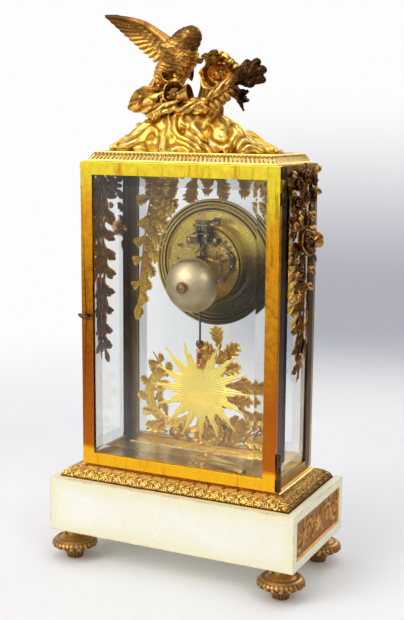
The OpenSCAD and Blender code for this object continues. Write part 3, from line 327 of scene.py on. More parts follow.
@dataclass(frozen=True)
class Fade:
    """A colour that deepens in one direction across a whole piece."""

    colour: Colour
    low: float
    high: float
    way: Triple = (0.0, 0.0, 1.0)

    def over(self, graph: Graph, base: object) -> Socket:
        """The base colour, given over to this one from high down to low along the way."""
        height = graph.dot(graph.place(), self.way)
        drift = graph.times(
            graph.minus(graph.noise(graph.place(), 24.0), 0.5), 0.5 * (self.high - self.low))
        at = graph.plus(height, drift)
        return graph.blend(graph.span(at, self.low, self.high, 0.95, 0.0), base, self.colour)


@dataclass(frozen=True)
class Finish:
    """A surface finish. Subclasses wire their own Principled shader."""

    name: str
    slot: Slot

    def material(self, groups: Groups) -> bpy.types.Material:
        """Builds the material once and returns it afterwards.

        Args:
            groups: the shared shader groups.

        Returns:
            The finish's material.
        """
        found = bpy.data.materials.get(self.name)
        if found is not None:
            return found
        made = bpy.data.materials.new(self.name)
        made.use_nodes = True
        graph = Graph(made.node_tree)
        self.wire(graph, made.node_tree.nodes["Principled BSDF"], groups)
        return made

    def wire(self, graph: Graph, shader: bpy.types.Node, groups: Groups) -> None:
        """Sets the shader's sockets; each finish does this in its own way."""
        raise NotImplementedError

    @staticmethod
    def bump(graph: Graph, shader: bpy.types.Node, height: object, depth_mm: float) -> None:
        """Feeds a height into the shader's normal."""
        node = graph.fill(graph.add("Bump"), Strength=1.0, Distance=depth_mm * MM, Height=height)
        graph.feed(shader.inputs["Normal"], node.outputs[0])


@dataclass(frozen=True)
class Gilding(Finish):
    """Cast and chased bronze under old gilding."""

    gold: Colour = (0.83, 0.52, 0.13)
    hollow: Colour = (0.07, 0.035, 0.012)
    rubbed: Colour = (1.0, 0.76, 0.32)
    green: Colour = (0.20, 0.21, 0.09)
    dirt: float = 0.85
    patina: float = 0.25
    scale: float = 55.0
    gloss: Pair = (0.24, 0.6)
    depth_mm: float = 0.12
    metal: float = 1.0
    fades: tuple[Fade, ...] = ()
    # Painted shade laid over the gold and rubbed colours, darker towards one side of the piece.
    painted_side_shade: Fade | None = None

    def wire(self, graph: Graph, shader: bpy.types.Node, groups: Groups) -> None:
        """Ages the gilding by the piece's own cavity values."""
        cavity = graph.add("Attribute", attribute_name="cavity")
        gold, rubbed = self.gold, self.rubbed
        # Painted shade: darkens the gold and rubbed colours along the fade's way.
        if self.painted_side_shade:
            gold, rubbed = (self.painted_side_shade.over(graph, colour) for colour in (gold, rubbed))
        aged = graph.group(
            groups.ageing, Gold=gold, Hollow=self.hollow, Rubbed=rubbed, Green=self.green,
            Cavity=cavity.outputs["Fac"], Dirt=self.dirt, Patina=self.patina, Scale=self.scale)
        colour = aged.outputs["Colour"]
        for fade in self.fades:
            colour = fade.over(graph, colour)
        graph.feed(shader.inputs["Base Color"], colour)
        graph.feed(
            shader.inputs["Roughness"], graph.span(aged.outputs["Gloss"], 0.1, 0.8, *self.gloss))
        graph.feed(shader.inputs["Metallic"], self.metal)
        self.bump(graph, shader, aged.outputs["Height"], self.depth_mm)


@dataclass(frozen=True)
class SheetMetal(Finish):
    """Drawn, turned or filed metal with grain, clouding and dark specks."""

    base: Colour = (0.8, 0.5, 0.15)
    cloud: Colour = (0.6, 0.3, 0.08)
    speck: Colour = (0.08, 0.04, 0.02)
    specks: float = 0.3
    speck_scale: float = 260.0
    scale: float = 260.0
    stretch: float = 1.0
    gloss: Pair = (0.16, 0.4)
    depth_mm: float = 0.02
    metal: float = 1.0
    fades: tuple[Fade, ...] = ()
    streak: Colour | None = None

    def wire(self, graph: Graph, shader: bpy.types.Node, groups: Groups) -> None:
        """Blends base and cloud, fades them across, then lays streaks and specks on them."""
        grain = graph.group(groups.grain, Scale=self.scale, Stretch=self.stretch)
        spots = graph.group(groups.specks, Scale=self.speck_scale, Amount=self.specks)
        colour = graph.blend(graph.span(grain.outputs["Cloud"], 0.36, 0.68), self.base, self.cloud)
        for fade in self.fades:
            colour = fade.over(graph, colour)
        if self.streak:
            runs = graph.noise(graph.place((1.0, 1.0, 0.12)), 190.0, 3.0, 0.6)
            colour = graph.blend(graph.span(runs, 0.57, 0.70, 0.0, 0.55), colour, self.streak)
        colour = graph.blend(spots.outputs["Mask"], colour, self.speck)
        graph.feed(shader.inputs["Base Color"], colour)
        rough = graph.plus(grain.outputs["Mask"], graph.times(spots.outputs["Mask"], 0.4))
        graph.feed(shader.inputs["Roughness"], graph.span(rough, 0.3, 0.8, *self.gloss))
        graph.feed(shader.inputs["Metallic"], self.metal)
        self.bump(graph, shader, grain.outputs["Mask"], self.depth_mm)


@dataclass(frozen=True)
class Stone(Finish):
    """White statuary marble, yellowed and flecked."""

    white: Colour = (0.955, 0.94, 0.83)
    cream: Colour = (0.90, 0.85, 0.56)
    edge: Colour = (0.72, 0.52, 0.20)
    vein: Colour = (0.62, 0.58, 0.50)
    fleck: Colour = (0.30, 0.24, 0.16)
    half: Triple = (0.1372, 0.0706, 0.02855)
    middle: float = 0.06155

    def wire(self, graph: Graph, shader: bpy.types.Node, groups: Groups) -> None:
        """Clouds, faint veins, flecks and edges yellowed by handling."""
        place = graph.place()
        cloud = graph.span(graph.noise(place, 14.0, 4.0, 0.6, 0.8), 0.40, 0.68)
        vein = graph.math("ABSOLUTE", graph.minus(graph.noise(place, 9.0, 5.0, 0.6, 1.6), 0.5))
        colour = graph.blend(graph.times(cloud, 0.4), self.white, self.cream)
        colour = graph.blend(graph.span(vein, 0.016, 0.0, 0.0, 0.07), colour, self.vein)
        x, y, z = graph.split(place)
        raised = (x, y, graph.minus(z, self.middle))
        inward = [
            graph.minus(reach, graph.math("ABSOLUTE", value)) for reach,
            value in zip(self.half, raised)]
        pairs = [graph.math("MAXIMUM", inward[k], inward[(k + 1) % 3]) for k in range(3)]
        nearest = graph.math("MINIMUM", graph.math("MINIMUM", pairs[0], pairs[1]), pairs[2])
        ragged = graph.minus(nearest, graph.times(graph.noise(place, 70.0, 4.0), 0.006))
        colour = graph.blend(graph.span(ragged, -0.003, 0.016, 0.9, 0.0), colour, self.cream)
        colour = graph.blend(graph.span(ragged, -0.0036, -0.0014, 0.8, 0.0), colour, self.edge)
        flecks = graph.group(groups.specks, Scale=120.0, Amount=0.18)
        graph.feed(
            shader.inputs["Base Color"],
            graph.blend(graph.times(flecks.outputs["Mask"], 0.6), colour, self.fleck))
        fine = graph.noise(place, 700.0, 2.0)
        graph.feed(shader.inputs["Roughness"], graph.span(fine, 0.3, 0.7, 0.22, 0.42))
        self.bump(graph, shader, fine, 0.015)


@dataclass(frozen=True)
class PlateGlass(Finish):
    """Clear bevelled glass that lets daylight through to what stands behind it."""

    tint: Colour = (0.97, 0.985, 0.98)
    ground: Colour = (0.62, 0.63, 0.62)

    def wire(self, graph: Graph, shader: bpy.types.Node, groups: Groups) -> None:
        """Clear to shadow and diffuse rays, refracting to the rest, with dust and greyer bevels."""
        smear = graph.noise(graph.place(), 18.0, 4.0, 0.6, 0.5)
        x, y, _ = graph.split(graph.add("TexCoord").outputs["Normal"])
        flat = graph.math("MAXIMUM", graph.math("ABSOLUTE", x), graph.math("ABSOLUTE", y))
        clean = graph.blend(graph.span(smear, 0.5, 0.8, 0.0, 0.25), self.tint, (0.93, 0.95, 0.95))
        graph.feed(
            shader.inputs["Base Color"],
            graph.blend(graph.span(flat, 0.9992, 0.9965), clean, self.ground))
        graph.feed(shader.inputs["Roughness"], graph.span(smear, 0.45, 0.8, 0.0, 0.02))
        graph.fill(shader, Transmission_Weight=1.0, IOR=1.5, Metallic=0.0)
        light = graph.add("LightPath")
        clear = graph.add("BsdfTransparent")
        choose = graph.add("MixShader")
        graph.feed(
            choose.inputs[0],
            graph.math("MAXIMUM", light.outputs["Is Shadow Ray"], light.outputs["Is Diffuse Ray"]))
        graph.tree.links.new(shader.outputs[0], choose.inputs[1])
        graph.tree.links.new(clear.outputs[0], choose.inputs[2])
        graph.tree.links.new(
            choose.outputs[0], graph.tree.nodes["Material Output"].inputs["Surface"])


@dataclass(frozen=True)
class Enamel(Finish):
    """Glassy enamel or paint with faint crazing."""

    base: Colour = (0.88, 0.86, 0.80)
    shade: Colour = (0.74, 0.70, 0.60)
    rough: float = 0.12

    def wire(self, graph: Graph, shader: bpy.types.Node, groups: Groups) -> None:
        """Slightly uneven glaze over the base colour."""
        wave = graph.noise(graph.place(), 40.0, 4.0, 0.6, 0.5)
        flecks = graph.group(groups.specks, Scale=300.0, Amount=0.12)
        colour = graph.blend(graph.span(wave, 0.4, 0.75, 0.0, 0.5), self.base, self.shade)
        graph.feed(
            shader.inputs["Base Color"],
            graph.blend(graph.times(flecks.outputs["Mask"], 0.5), colour, (0.2, 0.16, 0.1)))
        graph.feed(
            shader.inputs["Roughness"], graph.span(wave, 0.3, 0.7, self.rough, self.rough + 0.12))
        self.bump(graph, shader, wave, 0.03)


@dataclass(frozen=True)
class Finishes:
    """Every finish on the clock."""

    rock: Finish = Gilding(
        "rockwork_gilt", Slot.GILT, gold=(0.96, 0.63, 0.09), hollow=(0.32, 0.11, 0.012),
        rubbed=(1.0, 0.86, 0.34), dirt=0.8, patina=0.1, scale=38.0,
        gloss=(0.34, 0.6), depth_mm=0.15)
    finial: Finish = Gilding(
        "finial_gilt_bronze", Slot.GILT, gold=(0.62, 0.33, 0.06), hollow=(0.06, 0.027, 0.008),
        rubbed=(0.96, 0.63, 0.14), dirt=0.95, patina=0.32, scale=45.0,
        gloss=(0.28, 0.55), depth_mm=0.2)
    dove: Finish = Gilding(
        "dove_gilt_bronze", Slot.GILT, gold=(0.60, 0.30, 0.055), hollow=(0.09, 0.035, 0.01),
        rubbed=(0.92, 0.58, 0.14), dirt=0.9, patina=0.15, scale=50.0,
        gloss=(0.32, 0.58), depth_mm=0.2)
    torch: Finish = Gilding(
        "torch_bronze", Slot.DARK_GILT, gold=(0.50, 0.25, 0.05), hollow=(0.05, 0.022, 0.007),
        rubbed=(0.85, 0.52, 0.14), patina=0.3, gloss=(0.3, 0.6), depth_mm=0.2,
        fades=(Fade((0.035, 0.014, 0.007), -0.050, -0.040, ALONG_X),))
    garland: Finish = Gilding(
        "garland_dark_gilt", Slot.DARK_GILT, gold=(0.31, 0.135, 0.033),
        hollow=(0.018, 0.009, 0.005), rubbed=(0.95, 0.50, 0.13), dirt=0.97,
        patina=0.2, gloss=(0.25, 0.6))
    front_leaf: Finish = Gilding(
        "front_leaf_gilt", Slot.GILT, gold=(1.0, 0.66, 0.10), hollow=(0.16, 0.10, 0.03),
        rubbed=(1.0, 0.82, 0.2), dirt=0.6, patina=0.2, gloss=(0.3, 0.55), metal=0.75)
    moulding: Finish = Gilding(
        "moulding_gilt", Slot.GILT, gold=(0.72, 0.45, 0.10), hollow=(0.04, 0.022, 0.01),
        rubbed=(1.0, 0.84, 0.34), dirt=1.0, patina=0.25, scale=70.0, gloss=(0.28, 0.55),
        # Painted shade: the run along the -X end is darker.
        painted_side_shade=Fade((0.36, 0.20, 0.055), -0.128, -0.114, ALONG_X))
    cornice: Finish = Gilding(
        "cornice_gilt", Slot.GILT, gold=(0.92, 0.64, 0.16), hollow=(0.10, 0.05, 0.015),
        rubbed=(1.0, 0.86, 0.42), dirt=0.9, patina=0.15, scale=70.0, gloss=(0.28, 0.55))
    foot: Finish = Gilding(
        "foot_bronze", Slot.DARK_GILT, gold=(0.42, 0.24, 0.08), hollow=(0.05, 0.03, 0.015),
        rubbed=(0.75, 0.48, 0.18), dirt=0.85, patina=0.3, scale=80.0, gloss=(0.34, 0.58))
    frieze: Finish = Gilding(
        "frieze_gilt", Slot.DARK_GILT, gold=(0.50, 0.21, 0.04), hollow=(0.13, 0.045, 0.012),
        rubbed=(0.84, 0.48, 0.13), dirt=0.8, patina=0.2, scale=90.0, gloss=(0.35, 0.6))
    lacquer: Finish = SheetMetal(
        "lacquered_frame_brass", Slot.LACQUER, base=(1.0, 0.80, 0.050), cloud=(1.0, 0.66, 0.036),
        speck=(0.22, 0.08, 0.015), specks=0.27, speck_scale=420.0, scale=160.0, gloss=(0.24, 0.42),
        depth_mm=0.02, streak=(0.50, 0.15, 0.012),
        # Painted light and shade: bright yellow at the top, deeper orange and darker lower down,
        # lighter again at the bottom rail; the last fade darkens the hinge edge.
        fades=(Fade((1.0, 0.42, 0.018), 0.355, 0.402, (-0.1, 0.0, 1.0)), Fade((0.46, 0.105, 0.010),
        0.19, 0.345, (-0.25, 0.0, 1.0)), Fade((0.96, 0.50, 0.016), 0.119, 0.126),
        Fade((0.10, 0.05, 0.02), -0.1094, -0.1088, ALONG_X)))
    front_frame: Finish = SheetMetal(
        "front_frame_brass", Slot.LACQUER, base=(0.62, 0.46, 0.20), cloud=(0.48, 0.34, 0.14),
        specks=0.3, gloss=(0.28, 0.45))
    post: Finish = SheetMetal(
        "tarnished_post_brass", Slot.DARK_GILT, base=(0.13, 0.065, 0.028),
        cloud=(0.065, 0.040, 0.022), specks=0.5, speck_scale=380.0,
        gloss=(0.32, 0.5), depth_mm=0.03)
    rail: Finish = SheetMetal(
        "rail_brass", Slot.LACQUER, base=(0.52, 0.32, 0.08), cloud=(0.34, 0.19, 0.05),
        speck=(0.10, 0.035, 0.01), specks=0.4, speck_scale=380.0, gloss=(0.28, 0.48), depth_mm=0.03)
    brass: Finish = SheetMetal(
        "polished_plate_brass", Slot.BRASS, base=(0.86, 0.62, 0.17), cloud=(0.66, 0.41, 0.10),
        specks=0.25, gloss=(0.14, 0.32), metal=0.8)
    ring: Finish = Gilding(
        "bezel_ring_brass", Slot.BRASS, gold=(0.90, 0.68, 0.17), hollow=(0.035, 0.02, 0.008),
        rubbed=(1.0, 0.88, 0.34), dirt=0.95, patina=0.05, gloss=(0.16, 0.4), depth_mm=0.03,
        # Painted shade: the ring is darker towards the bottom and the -X side.
        metal=0.45, fades=(Fade((0.05, 0.034, 0.015), 0.196, 0.258, (0.6, 0.0, 0.8)),))
    drum: Finish = SheetMetal(
        "drum_brass", Slot.BRASS, base=(1.0, 0.80, 0.15), cloud=(0.72, 0.46, 0.08), specks=0.35,
        speck_scale=160.0, gloss=(0.16, 0.34), metal=0.45,
        # Painted shade: the drum is darker towards the bottom and the -X side.
        fades=(Fade((0.03, 0.022, 0.011), 0.205, 0.262, (0.6, 0.0, 0.8)),))
    floor: Finish = SheetMetal(
        "floor_brass", Slot.BRASS, base=(0.68, 0.56, 0.27), cloud=(0.46, 0.36, 0.16), specks=0.35,
        stretch=0.15, gloss=(0.22, 0.42))
    sun: Finish = SheetMetal(
        "sunburst_gilding", Slot.SUN, base=(1.0, 0.84, 0.20), cloud=(1.0, 0.70, 0.10),
        speck=(0.70, 0.26, 0.05), specks=0.15, speck_scale=90.0, scale=110.0, gloss=(0.48, 0.64),
        depth_mm=0.6, metal=0.5)
    red_gold: Finish = SheetMetal(
        "stirrup_red_gilding", Slot.SUN, base=(0.80, 0.34, 0.10), cloud=(0.62, 0.18, 0.05),
        specks=0.3, gloss=(0.25, 0.45))
    steel: Finish = SheetMetal(
        "blued_clock_steel", Slot.STEEL, base=(0.30, 0.235, 0.14), cloud=(0.13, 0.10, 0.065),
        speck=(0.14, 0.06, 0.03), specks=0.25, gloss=(0.18, 0.36))
    bell: Finish = SheetMetal(
        "bell_silver", Slot.BELL, base=(0.68, 0.57, 0.35), cloud=(0.50, 0.40, 0.24),
        speck=(0.24, 0.20, 0.13), specks=0.3, speck_scale=200.0, stretch=0.2,
        gloss=(0.46, 0.6), depth_mm=0.03)
    marble: Finish = Stone("statuary_marble", Slot.MARBLE)
    glass: Finish = PlateGlass("bevelled_plate_glass", Slot.GLASS)
    enamel: Finish = Enamel("dial_enamel", Slot.ENAMEL)
    ink: Finish = Enamel(
        "dial_black", Slot.ENAMEL, base=(0.02, 0.02, 0.025), shade=(0.05, 0.045, 0.04), rough=0.25)


GROUPS = Groups()
FINISH = Finishes()


# Geometry in millimetres.


def unit(vector: object) -> Array:
    """The vector at length 1."""
    given = np.asarray(vector, float)
    return given / np.maximum(np.linalg.norm(given, axis=-1, keepdims=True), 1e-12)


def axes(forward: object, up: object) -> Array:
    """Three rows: side, forward and normal, the normal as near to up as it can be."""
    ahead = unit(forward)
    side = np.cross(ahead, up)
    if np.linalg.norm(side) < 1e-6:
        side = np.cross(ahead, (0.3, 0.9, 0.1))
    side = unit(side)
    return np.array([side, ahead, np.cross(side, ahead)])


def circle(steps: int) -> Array:
    """Even angles once round, in radians."""
    return np.linspace(0, 2 * np.pi, steps, endpoint=False)


def spoke(side: Array, other: Array, turn: float) -> Array:
    """The direction at an angle from one axis towards another."""
    return side * math.cos(turn) + other * math.sin(turn)


def show(thing: bpy.types.Object) -> None:
    """Puts an object into the scene, once."""
    if thing.name not in bpy.context.scene.collection.objects:
        bpy.context.scene.collection.objects.link(thing)


def box_mm(node: str) -> tuple[Array, Array]:
    """Lowest and highest corner of a CAD node, in millimetres."""
    low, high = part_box(node)
    return np.array(low) / MM, np.array(high) / MM


def spline(points: object, count: int) -> Array:
    """A smooth curve through the given rows of numbers.

    Args:
        points: the rows it passes through.
        count: number of rows wanted.

    Returns:
        The curve's rows.
    """
    given = np.asarray(points, float)
    ends = np.vstack([2 * given[0] - given[1], given, 2 * given[-1] - given[-2]])
    at = np.linspace(0, len(given) - 1, count)
    index = np.minimum(at.astype(int), len(given) - 2)
    t = (at - index)[:, None]
    a, b, c, d = (ends[index + k] for k in range(4))
    square, cube = (2 * a - 5 * b + 4 * c - d) * t**2, (3 * b - a - 3 * c + d) * t**3
    return 0.5 * (2 * b + (c - a) * t + square + cube)


def value_noise(points: Array, size: float, seed: int = 0) -> Array:
    """Smooth noise of -1..1 at each point.

    Args:
        points: places, in millimetres.
        size: how wide one feature is, in millimetres.
        seed: picks another pattern.

    Returns:
        One value for each point.
    """
    scaled = np.asarray(points, float) / size
    cell = np.floor(scaled).astype(np.int64)
    t = scaled - cell
    t = t * t * (3 - 2 * t)
    total = np.zeros(scaled.shape[:-1])
    for corner in np.ndindex(2, 2, 2):
        key = cell + np.array(corner)
        mixed = (key[..., 0] * 73856093) ^ (key[..., 1] * 19349663) ^ (key[..., 2] * 83492791) ^ (
            seed * 97531)
        mixed = ((mixed ^ (mixed >> 13)) * 1274126177) & 0x7FFFFFFF
        share = np.prod(np.where(np.array(corner) == 1, t, 1 - t), axis=-1)
        total += share * (mixed / 0x3FFFFFFF - 1)
    return total


def step(value: Array, low: float, high: float) -> Array:
    """Smooth rise from 0 at low to 1 at high."""
    t = np.clip((value - low) / (high - low), 0, 1)
    return t * t * (3 - 2 * t)


def quads(index: Array) -> Array:
    """The four-sided faces of a grid of vertex numbers."""
    return np.stack([index[:-1, :-1], index[:-1, 1:], index[1:, 1:], index[1:, :-1]], -1).reshape(
        -1, 4)


def acanthus(across: Array, along: Array, lobes: float = 4.5) -> Array:
    """Relief of one acanthus leaf.

    Args:
        across: -1 at the left edge to 1 at the right edge.
        along: 0 at the root to 1 at the tip.
        lobes: lobes on each side.

    Returns:
        Height, 0 outside the leaf and about 1 on its ridges.
    """
    inside = np.clip(along, 0, 1)
    notch = np.abs(np.sin(np.pi * (lobes * inside - 0.3 * np.abs(across)))) ** 0.6
    half = np.sin(np.pi * (0.06 + 0.94 * inside) ** 0.85) ** 0.5 * (0.74 + 0.26 * notch)
    mask = step(half - np.abs(across), 0.0, 0.16) * (along > 0) * (along < 1)
    vein = np.abs(np.cos(np.pi * (lobes * inside - 1.6 * np.abs(across)))) ** 0.8
    rib = np.exp(-((across / 0.1) ** 2)) * (1 - 0.5 * inside)
    curl = 0.45 * np.exp(-(((inside - 0.84) / 0.12) ** 2))
    return mask * (0.3 + 0.45 * vein * (0.35 + 0.65 * np.abs(across)) + 0.35 * rib + curl)


@dataclass(frozen=True)
class Blade:
    """Cut and relief of one kind of leaf, petal or feather, its sizes as shares of its width."""

    lobes: float = 3.5
    notch: float = 0.3
    widest: float = 0.45
    blunt: float = 0.75
    sweep: float = 0.18
    rib: float = 0.09
    vein: float = 0.07
    cup: float = 0.16
    wave: float = 0.0
    thick: float = 0.07
    rows: int = 26
    columns: int = 13

    def surface(self, length: float, width: float, curl: float, twist: float = 0.0) -> Relief:
        """The blade's upper side, its root at the origin, along +Y with +Z up.

        Args:
            length: from root to tip.
            width: across the widest place.
            curl: total bend along it, in radians, towards +Z.
            twist: turn about its own length, in radians.

        Returns:
            Grid of points, and the cavity value of each.
        """
        t, v = np.meshgrid(
            np.linspace(0, 1, self.rows), np.linspace(-1, 1, self.columns), indexing="ij")
        power = math.log(0.5) / math.log(self.widest)
        outline = np.sin(np.pi * np.clip(t, 0, 1) ** power) ** self.blunt
        lobe = np.abs(np.sin(np.pi * self.lobes * t)) ** 0.55 if self.notch else 1.0
        outline = outline * (1 - self.notch + self.notch * lobe)
        x = v * outline * width / 2
        phase = self.lobes * t - 0.5 - 0.9 * np.abs(v)
        ridge = np.abs(np.cos(np.pi * phase)) if self.vein else np.zeros_like(t)
        rib = np.exp(-((v / 0.14) ** 2)) * (1 - t)
        veins = self.vein * (ridge - 0.5) * np.abs(v) * (outline > 0.05)
        flutter = self.wave * np.sin(5 * np.pi * t + 1.5 * v) * np.abs(v) * outline
        lift = width * (self.rib * rib + veins - self.cup * v**2 * outline + flutter)
        y = t + self.sweep * v**2 * outline * width / length
        bend = curl * y
        reach = length * (np.sin(bend) / curl if abs(curl) > 1e-3 else y)
        rise = length * ((1 - np.cos(bend)) / curl if abs(curl) > 1e-3 else 0 * y)
        turn = twist * t
        side, up = x * np.cos(turn) - lift * np.sin(turn), x * np.sin(turn) + lift * np.cos(turn)
        points = np.stack([side, reach - up * np.sin(bend), rise + up * np.cos(bend)], -1)
        cavity = 0.36 + 0.34 * rib + 0.30 * ridge * np.abs(v) + 0.22 * (np.abs(v) > 0.8)
        return points, np.clip(cavity - 0.3 * (t < 0.12), 0, 1)


@dataclass(frozen=True)
class Blades:
    """The cuts that the ornament uses."""

    oak: Blade = Blade(lobes=4.5, notch=0.5, widest=0.56, blunt=0.7, sweep=0.34, rows=34)
    laurel: Blade = Blade(lobes=5.0, notch=0.08, widest=0.5, blunt=0.9, vein=0.04)
    rose_leaf: Blade = Blade(lobes=6.0, notch=0.18, widest=0.42, blunt=0.8, vein=0.07, wave=0.05)
    petal: Blade = Blade(
        lobes=1.0, notch=0.0, widest=0.68, blunt=0.5, sweep=-0.08, rib=0.0, vein=0.0, cup=-0.2,
        rows=12, columns=9, thick=0.09)
    shell: Blade = Blade(
        lobes=2.0, notch=0.0, widest=0.42, blunt=0.75, sweep=0.0, rib=0.0, vein=0.10,
        cup=-0.22, rows=30, columns=15)
    feather: Blade = Blade(
        lobes=16.0, notch=0.05, widest=0.62, blunt=0.5, sweep=0.0, rib=0.10, vein=0.05,
        cup=0.14, rows=40, columns=9)
    acanthus: Blade = Blade(
        lobes=4.5, notch=0.36, widest=0.5, blunt=0.6, sweep=0.35, vein=0.1,
        cup=0.12, rows=34, columns=15)


BLADE = Blades()


class Casting:
    """Collects the surfaces of one casting and makes one mesh object of them."""

    def __init__(self, name: str) -> None:
        """Starts an empty casting."""
        self.name = name
        self.points: list[Array] = []
        self.faces: list[list[int]] = []
        self.cavity: list[Array] = []
        self.total = 0

    def add(self, points: Array, faces: Array, cavity: object = 0.5) -> None:
        """Adds a surface.

        Args:
            points: its vertices.
            faces: rows of vertex numbers.
            cavity: 0 in a hollow to 1 on a height, one number or one for each vertex.
        """
        flat = np.asarray(points, float).reshape(-1, 3)
        self.points.append(flat)
        self.faces += (np.asarray(faces) + self.total).tolist()
        self.cavity.append(
            np.broadcast_to(np.asarray(cavity, float).reshape(-1) if np.ndim(cavity)
            else cavity, len(flat)))
        self.total += len(flat)

    def loop(self, grid: Array, cavity: object = 0.5, round_rows: bool = False) -> None:
        """Adds a grid whose columns close on themselves, and its rows too if asked."""
        rows, columns = grid.shape[:2]
        index = np.arange(rows * columns).reshape(rows, columns)
        index = np.concatenate([index, index[:, :1]], 1)
        if round_rows:
            index = np.concatenate([index, index[:1]], 0)
        self.add(grid, quads(index), np.asarray(cavity).reshape(-1) if np.ndim(cavity) else cavity)

    def shell(self, grid: Array, thick: float, cavity: object = 0.5) -> None:
        """Adds a thin closed blade: the grid and a back that meets it along the edge."""
        rows, columns = grid.shape[:2]
        du, dv = np.gradient(grid, axis=0), np.gradient(grid, axis=1)
        normal = unit(np.cross(dv, du))
        index = np.arange(rows * columns).reshape(rows, columns)
        inner = np.zeros((rows, columns), bool)
        inner[1:-1, 1:-1] = True
        back = index.copy()
        back[inner] = rows * columns + np.arange(inner.sum())
        points = np.concatenate([grid.reshape(-1, 3), (grid - thick * normal)[inner]])
        values = np.broadcast_to(cavity, (rows, columns))
        self.add(
            points, np.concatenate([quads(index)[:, ::-1], quads(back)]),
            np.concatenate([values.reshape(-1), 0.85 * values[inner]]))

    def blade(
            self, cut: Blade, at: object, towards: object, up: object, length: float, width: float,
            curl: float = 0.0, twist: float = 0.0) -> None:
        """Adds one leaf, petal or feather.

        Args:
            cut: its kind.
            at: the root.
            towards: the direction it grows in.
            up: the side its face looks to.
            length: from root to tip.
            width: across the widest place.
            curl: bend towards the face, in radians.
            twist: turn along its length, in radians.
        """
        points, cavity = cut.surface(length, width, curl, twist)
        self.shell(
            points @ axes(towards, up) + np.asarray(at, float), max(cut.thick * width, 0.5), cavity)

    def tube(
            self, path: object, radius: object, sides: int = 12, flat: float = 1.0,
            up: object = (0.0, 0.0, 1.0), cavity: object = 0.5) -> None:
        """Adds a round or flattened bar along a path, with rounded ends.

        Args:
            path: rows of points.
            radius: one number, or one for each point.
            sides: faces round it.
            flat: its height as a share of its width.
            up: the way its height points.
            cavity: cavity value.
        """
        line = np.asarray(path, float)
        wide = np.broadcast_to(np.asarray(radius, float), len(line))
        ahead = unit(np.gradient(line, axis=0))
        cap = np.linspace(0, np.pi / 2, 4)
        start = [line[0] - ahead[0] * wide[0] * math.cos(a) for a in cap[:-1]]
        end = [line[-1] + ahead[-1] * wide[-1] * math.cos(a) for a in cap[:-1][::-1]]
        line = np.vstack([start, line, end])
        wide = np.concatenate([wide[0] * np.sin(cap[:-1]), wide, wide[-1] * np.sin(cap[:-1][::-1])])
        ahead = np.vstack([[ahead[0]] * 3, ahead, [ahead[-1]] * 3])
        side = np.cross(ahead, up)
        weak = np.linalg.norm(side, axis=1) < 0.15
        side[weak] = np.cross(ahead[weak], (0.9, 0.3, 0.3))
        side = unit(side)
        rise = np.cross(side, ahead)
        turn = circle(sides)
        ring = side[:, None] * np.cos(turn)[None, :, None] + flat * rise[:, None] * np.sin(turn)[
            None, :, None]
        self.loop(line[:, None] + ring * wide[:, None, None], cavity)

    def spun(
            self, profile: object, centre: object, axis: object = (0.0, 0.0, 1.0), sides: int = 96,
            relief: Shaper | None = None) -> None:
        """Adds a turned form.

        Args:
            profile: rows of radius and height along the axis; ends at radius 0 close it.
            centre: where height 0 is.
            axis: the axis of turning.
            sides: steps round it.
            relief: function of (turn, row share) that gives extra radius and cavity.
        """
        line = np.asarray(profile, float)
        turn = circle(sides)
        share = np.linspace(0, 1, len(line))
        extra, cavity = relief(turn[None, :], share[:, None]) if relief else (
            np.zeros((len(line), sides)), 0.5)
        side, ahead, _ = axes(axis, (0.31, 0.95, 0.05))
        other = np.cross(ahead, side)
        round_way = side[None, :] * np.cos(turn)[:, None] + other[None, :] * np.sin(turn)[:, None]
        reach = line[:, 0, None] + extra * (line[:, 0, None] > 0.01)
        middle = np.asarray(centre, float)
        grid = reach[..., None] * round_way[None] + line[:, 1, None, None] * ahead + middle
        self.loop(grid, cavity)

    def ball(
            self, centre: object, radius: float, squash: Triple = (1.0, 1.0, 1.0),
            cavity: float = 0.6, sides: int = 14) -> None:
        """Adds a bead, round or flattened."""
        angle = np.linspace(0, np.pi, sides // 2 + 2)
        turn = circle(sides)
        grid = np.stack(
            [np.sin(angle)[:, None] * np.cos(turn), np.sin(angle)[:, None] * np.sin(turn),
            np.cos(angle)[:, None] * np.ones_like(turn)], -1)
        self.loop(grid * radius * np.array(squash) + np.asarray(centre, float), cavity)

    def block(
            self, low: object, high: object, turn: Array | None = None,
            centre: object = (0.0, 0.0, 0.0)) -> None:
        """Adds a square-edged bar between two corners, turned by matrix rows about a centre."""
        corners = np.array(
            [[x, y, z] for x in (low[0], high[0]) for y in (low[1], high[1])
            for z in (low[2], high[2])], float)
        if turn is not None:
            corners = corners @ turn
        faces = np.array(
            [[0, 1, 3, 2], [4, 6, 7, 5], [0, 4, 5, 1], [2, 3, 7, 6], [0, 2, 6, 4], [1, 5, 7, 3]])
        self.add(corners + np.asarray(centre, float), faces)

    def moved(self, change: Array, shift: object = (0.0, 0.0, 0.0)) -> "Casting":
        """A copy whose points are turned by the matrix rows and shifted."""
        copy = Casting(self.name)
        copy.points = [p @ change + np.asarray(shift, float) for p in self.points]
        copy.faces, copy.cavity, copy.total = self.faces, self.cavity, self.total
        return copy

    def tone(self, rule: Callable[[Array, Array], Array]) -> None:
        """Changes the cavity values by a rule of points and present values."""
        self.cavity = [np.clip(rule(p, c), 0, 1) for p, c in zip(self.points, self.cavity)]

    def mesh(self) -> bpy.types.Mesh:
        """The casting as a Blender mesh in metres, welded, with outward faces and cavity values."""
        mesh = bpy.data.meshes.new(self.name)
        mesh.from_pydata((np.concatenate(self.points) * MM).tolist(), [], self.faces)
        layer = mesh.attributes.new("cavity", "FLOAT", "POINT")
        layer.data.foreach_set("value", np.concatenate(self.cavity).astype(np.float32))
        work = bmesh.new()
        work.from_mesh(mesh)
        bmesh.ops.remove_doubles(work, verts=work.verts, dist=WELD)
        bmesh.ops.dissolve_degenerate(work, edges=work.edges, dist=WELD)
        bmesh.ops.recalc_face_normals(work, faces=work.faces)
        work.to_mesh(mesh)
        work.free()
        return mesh

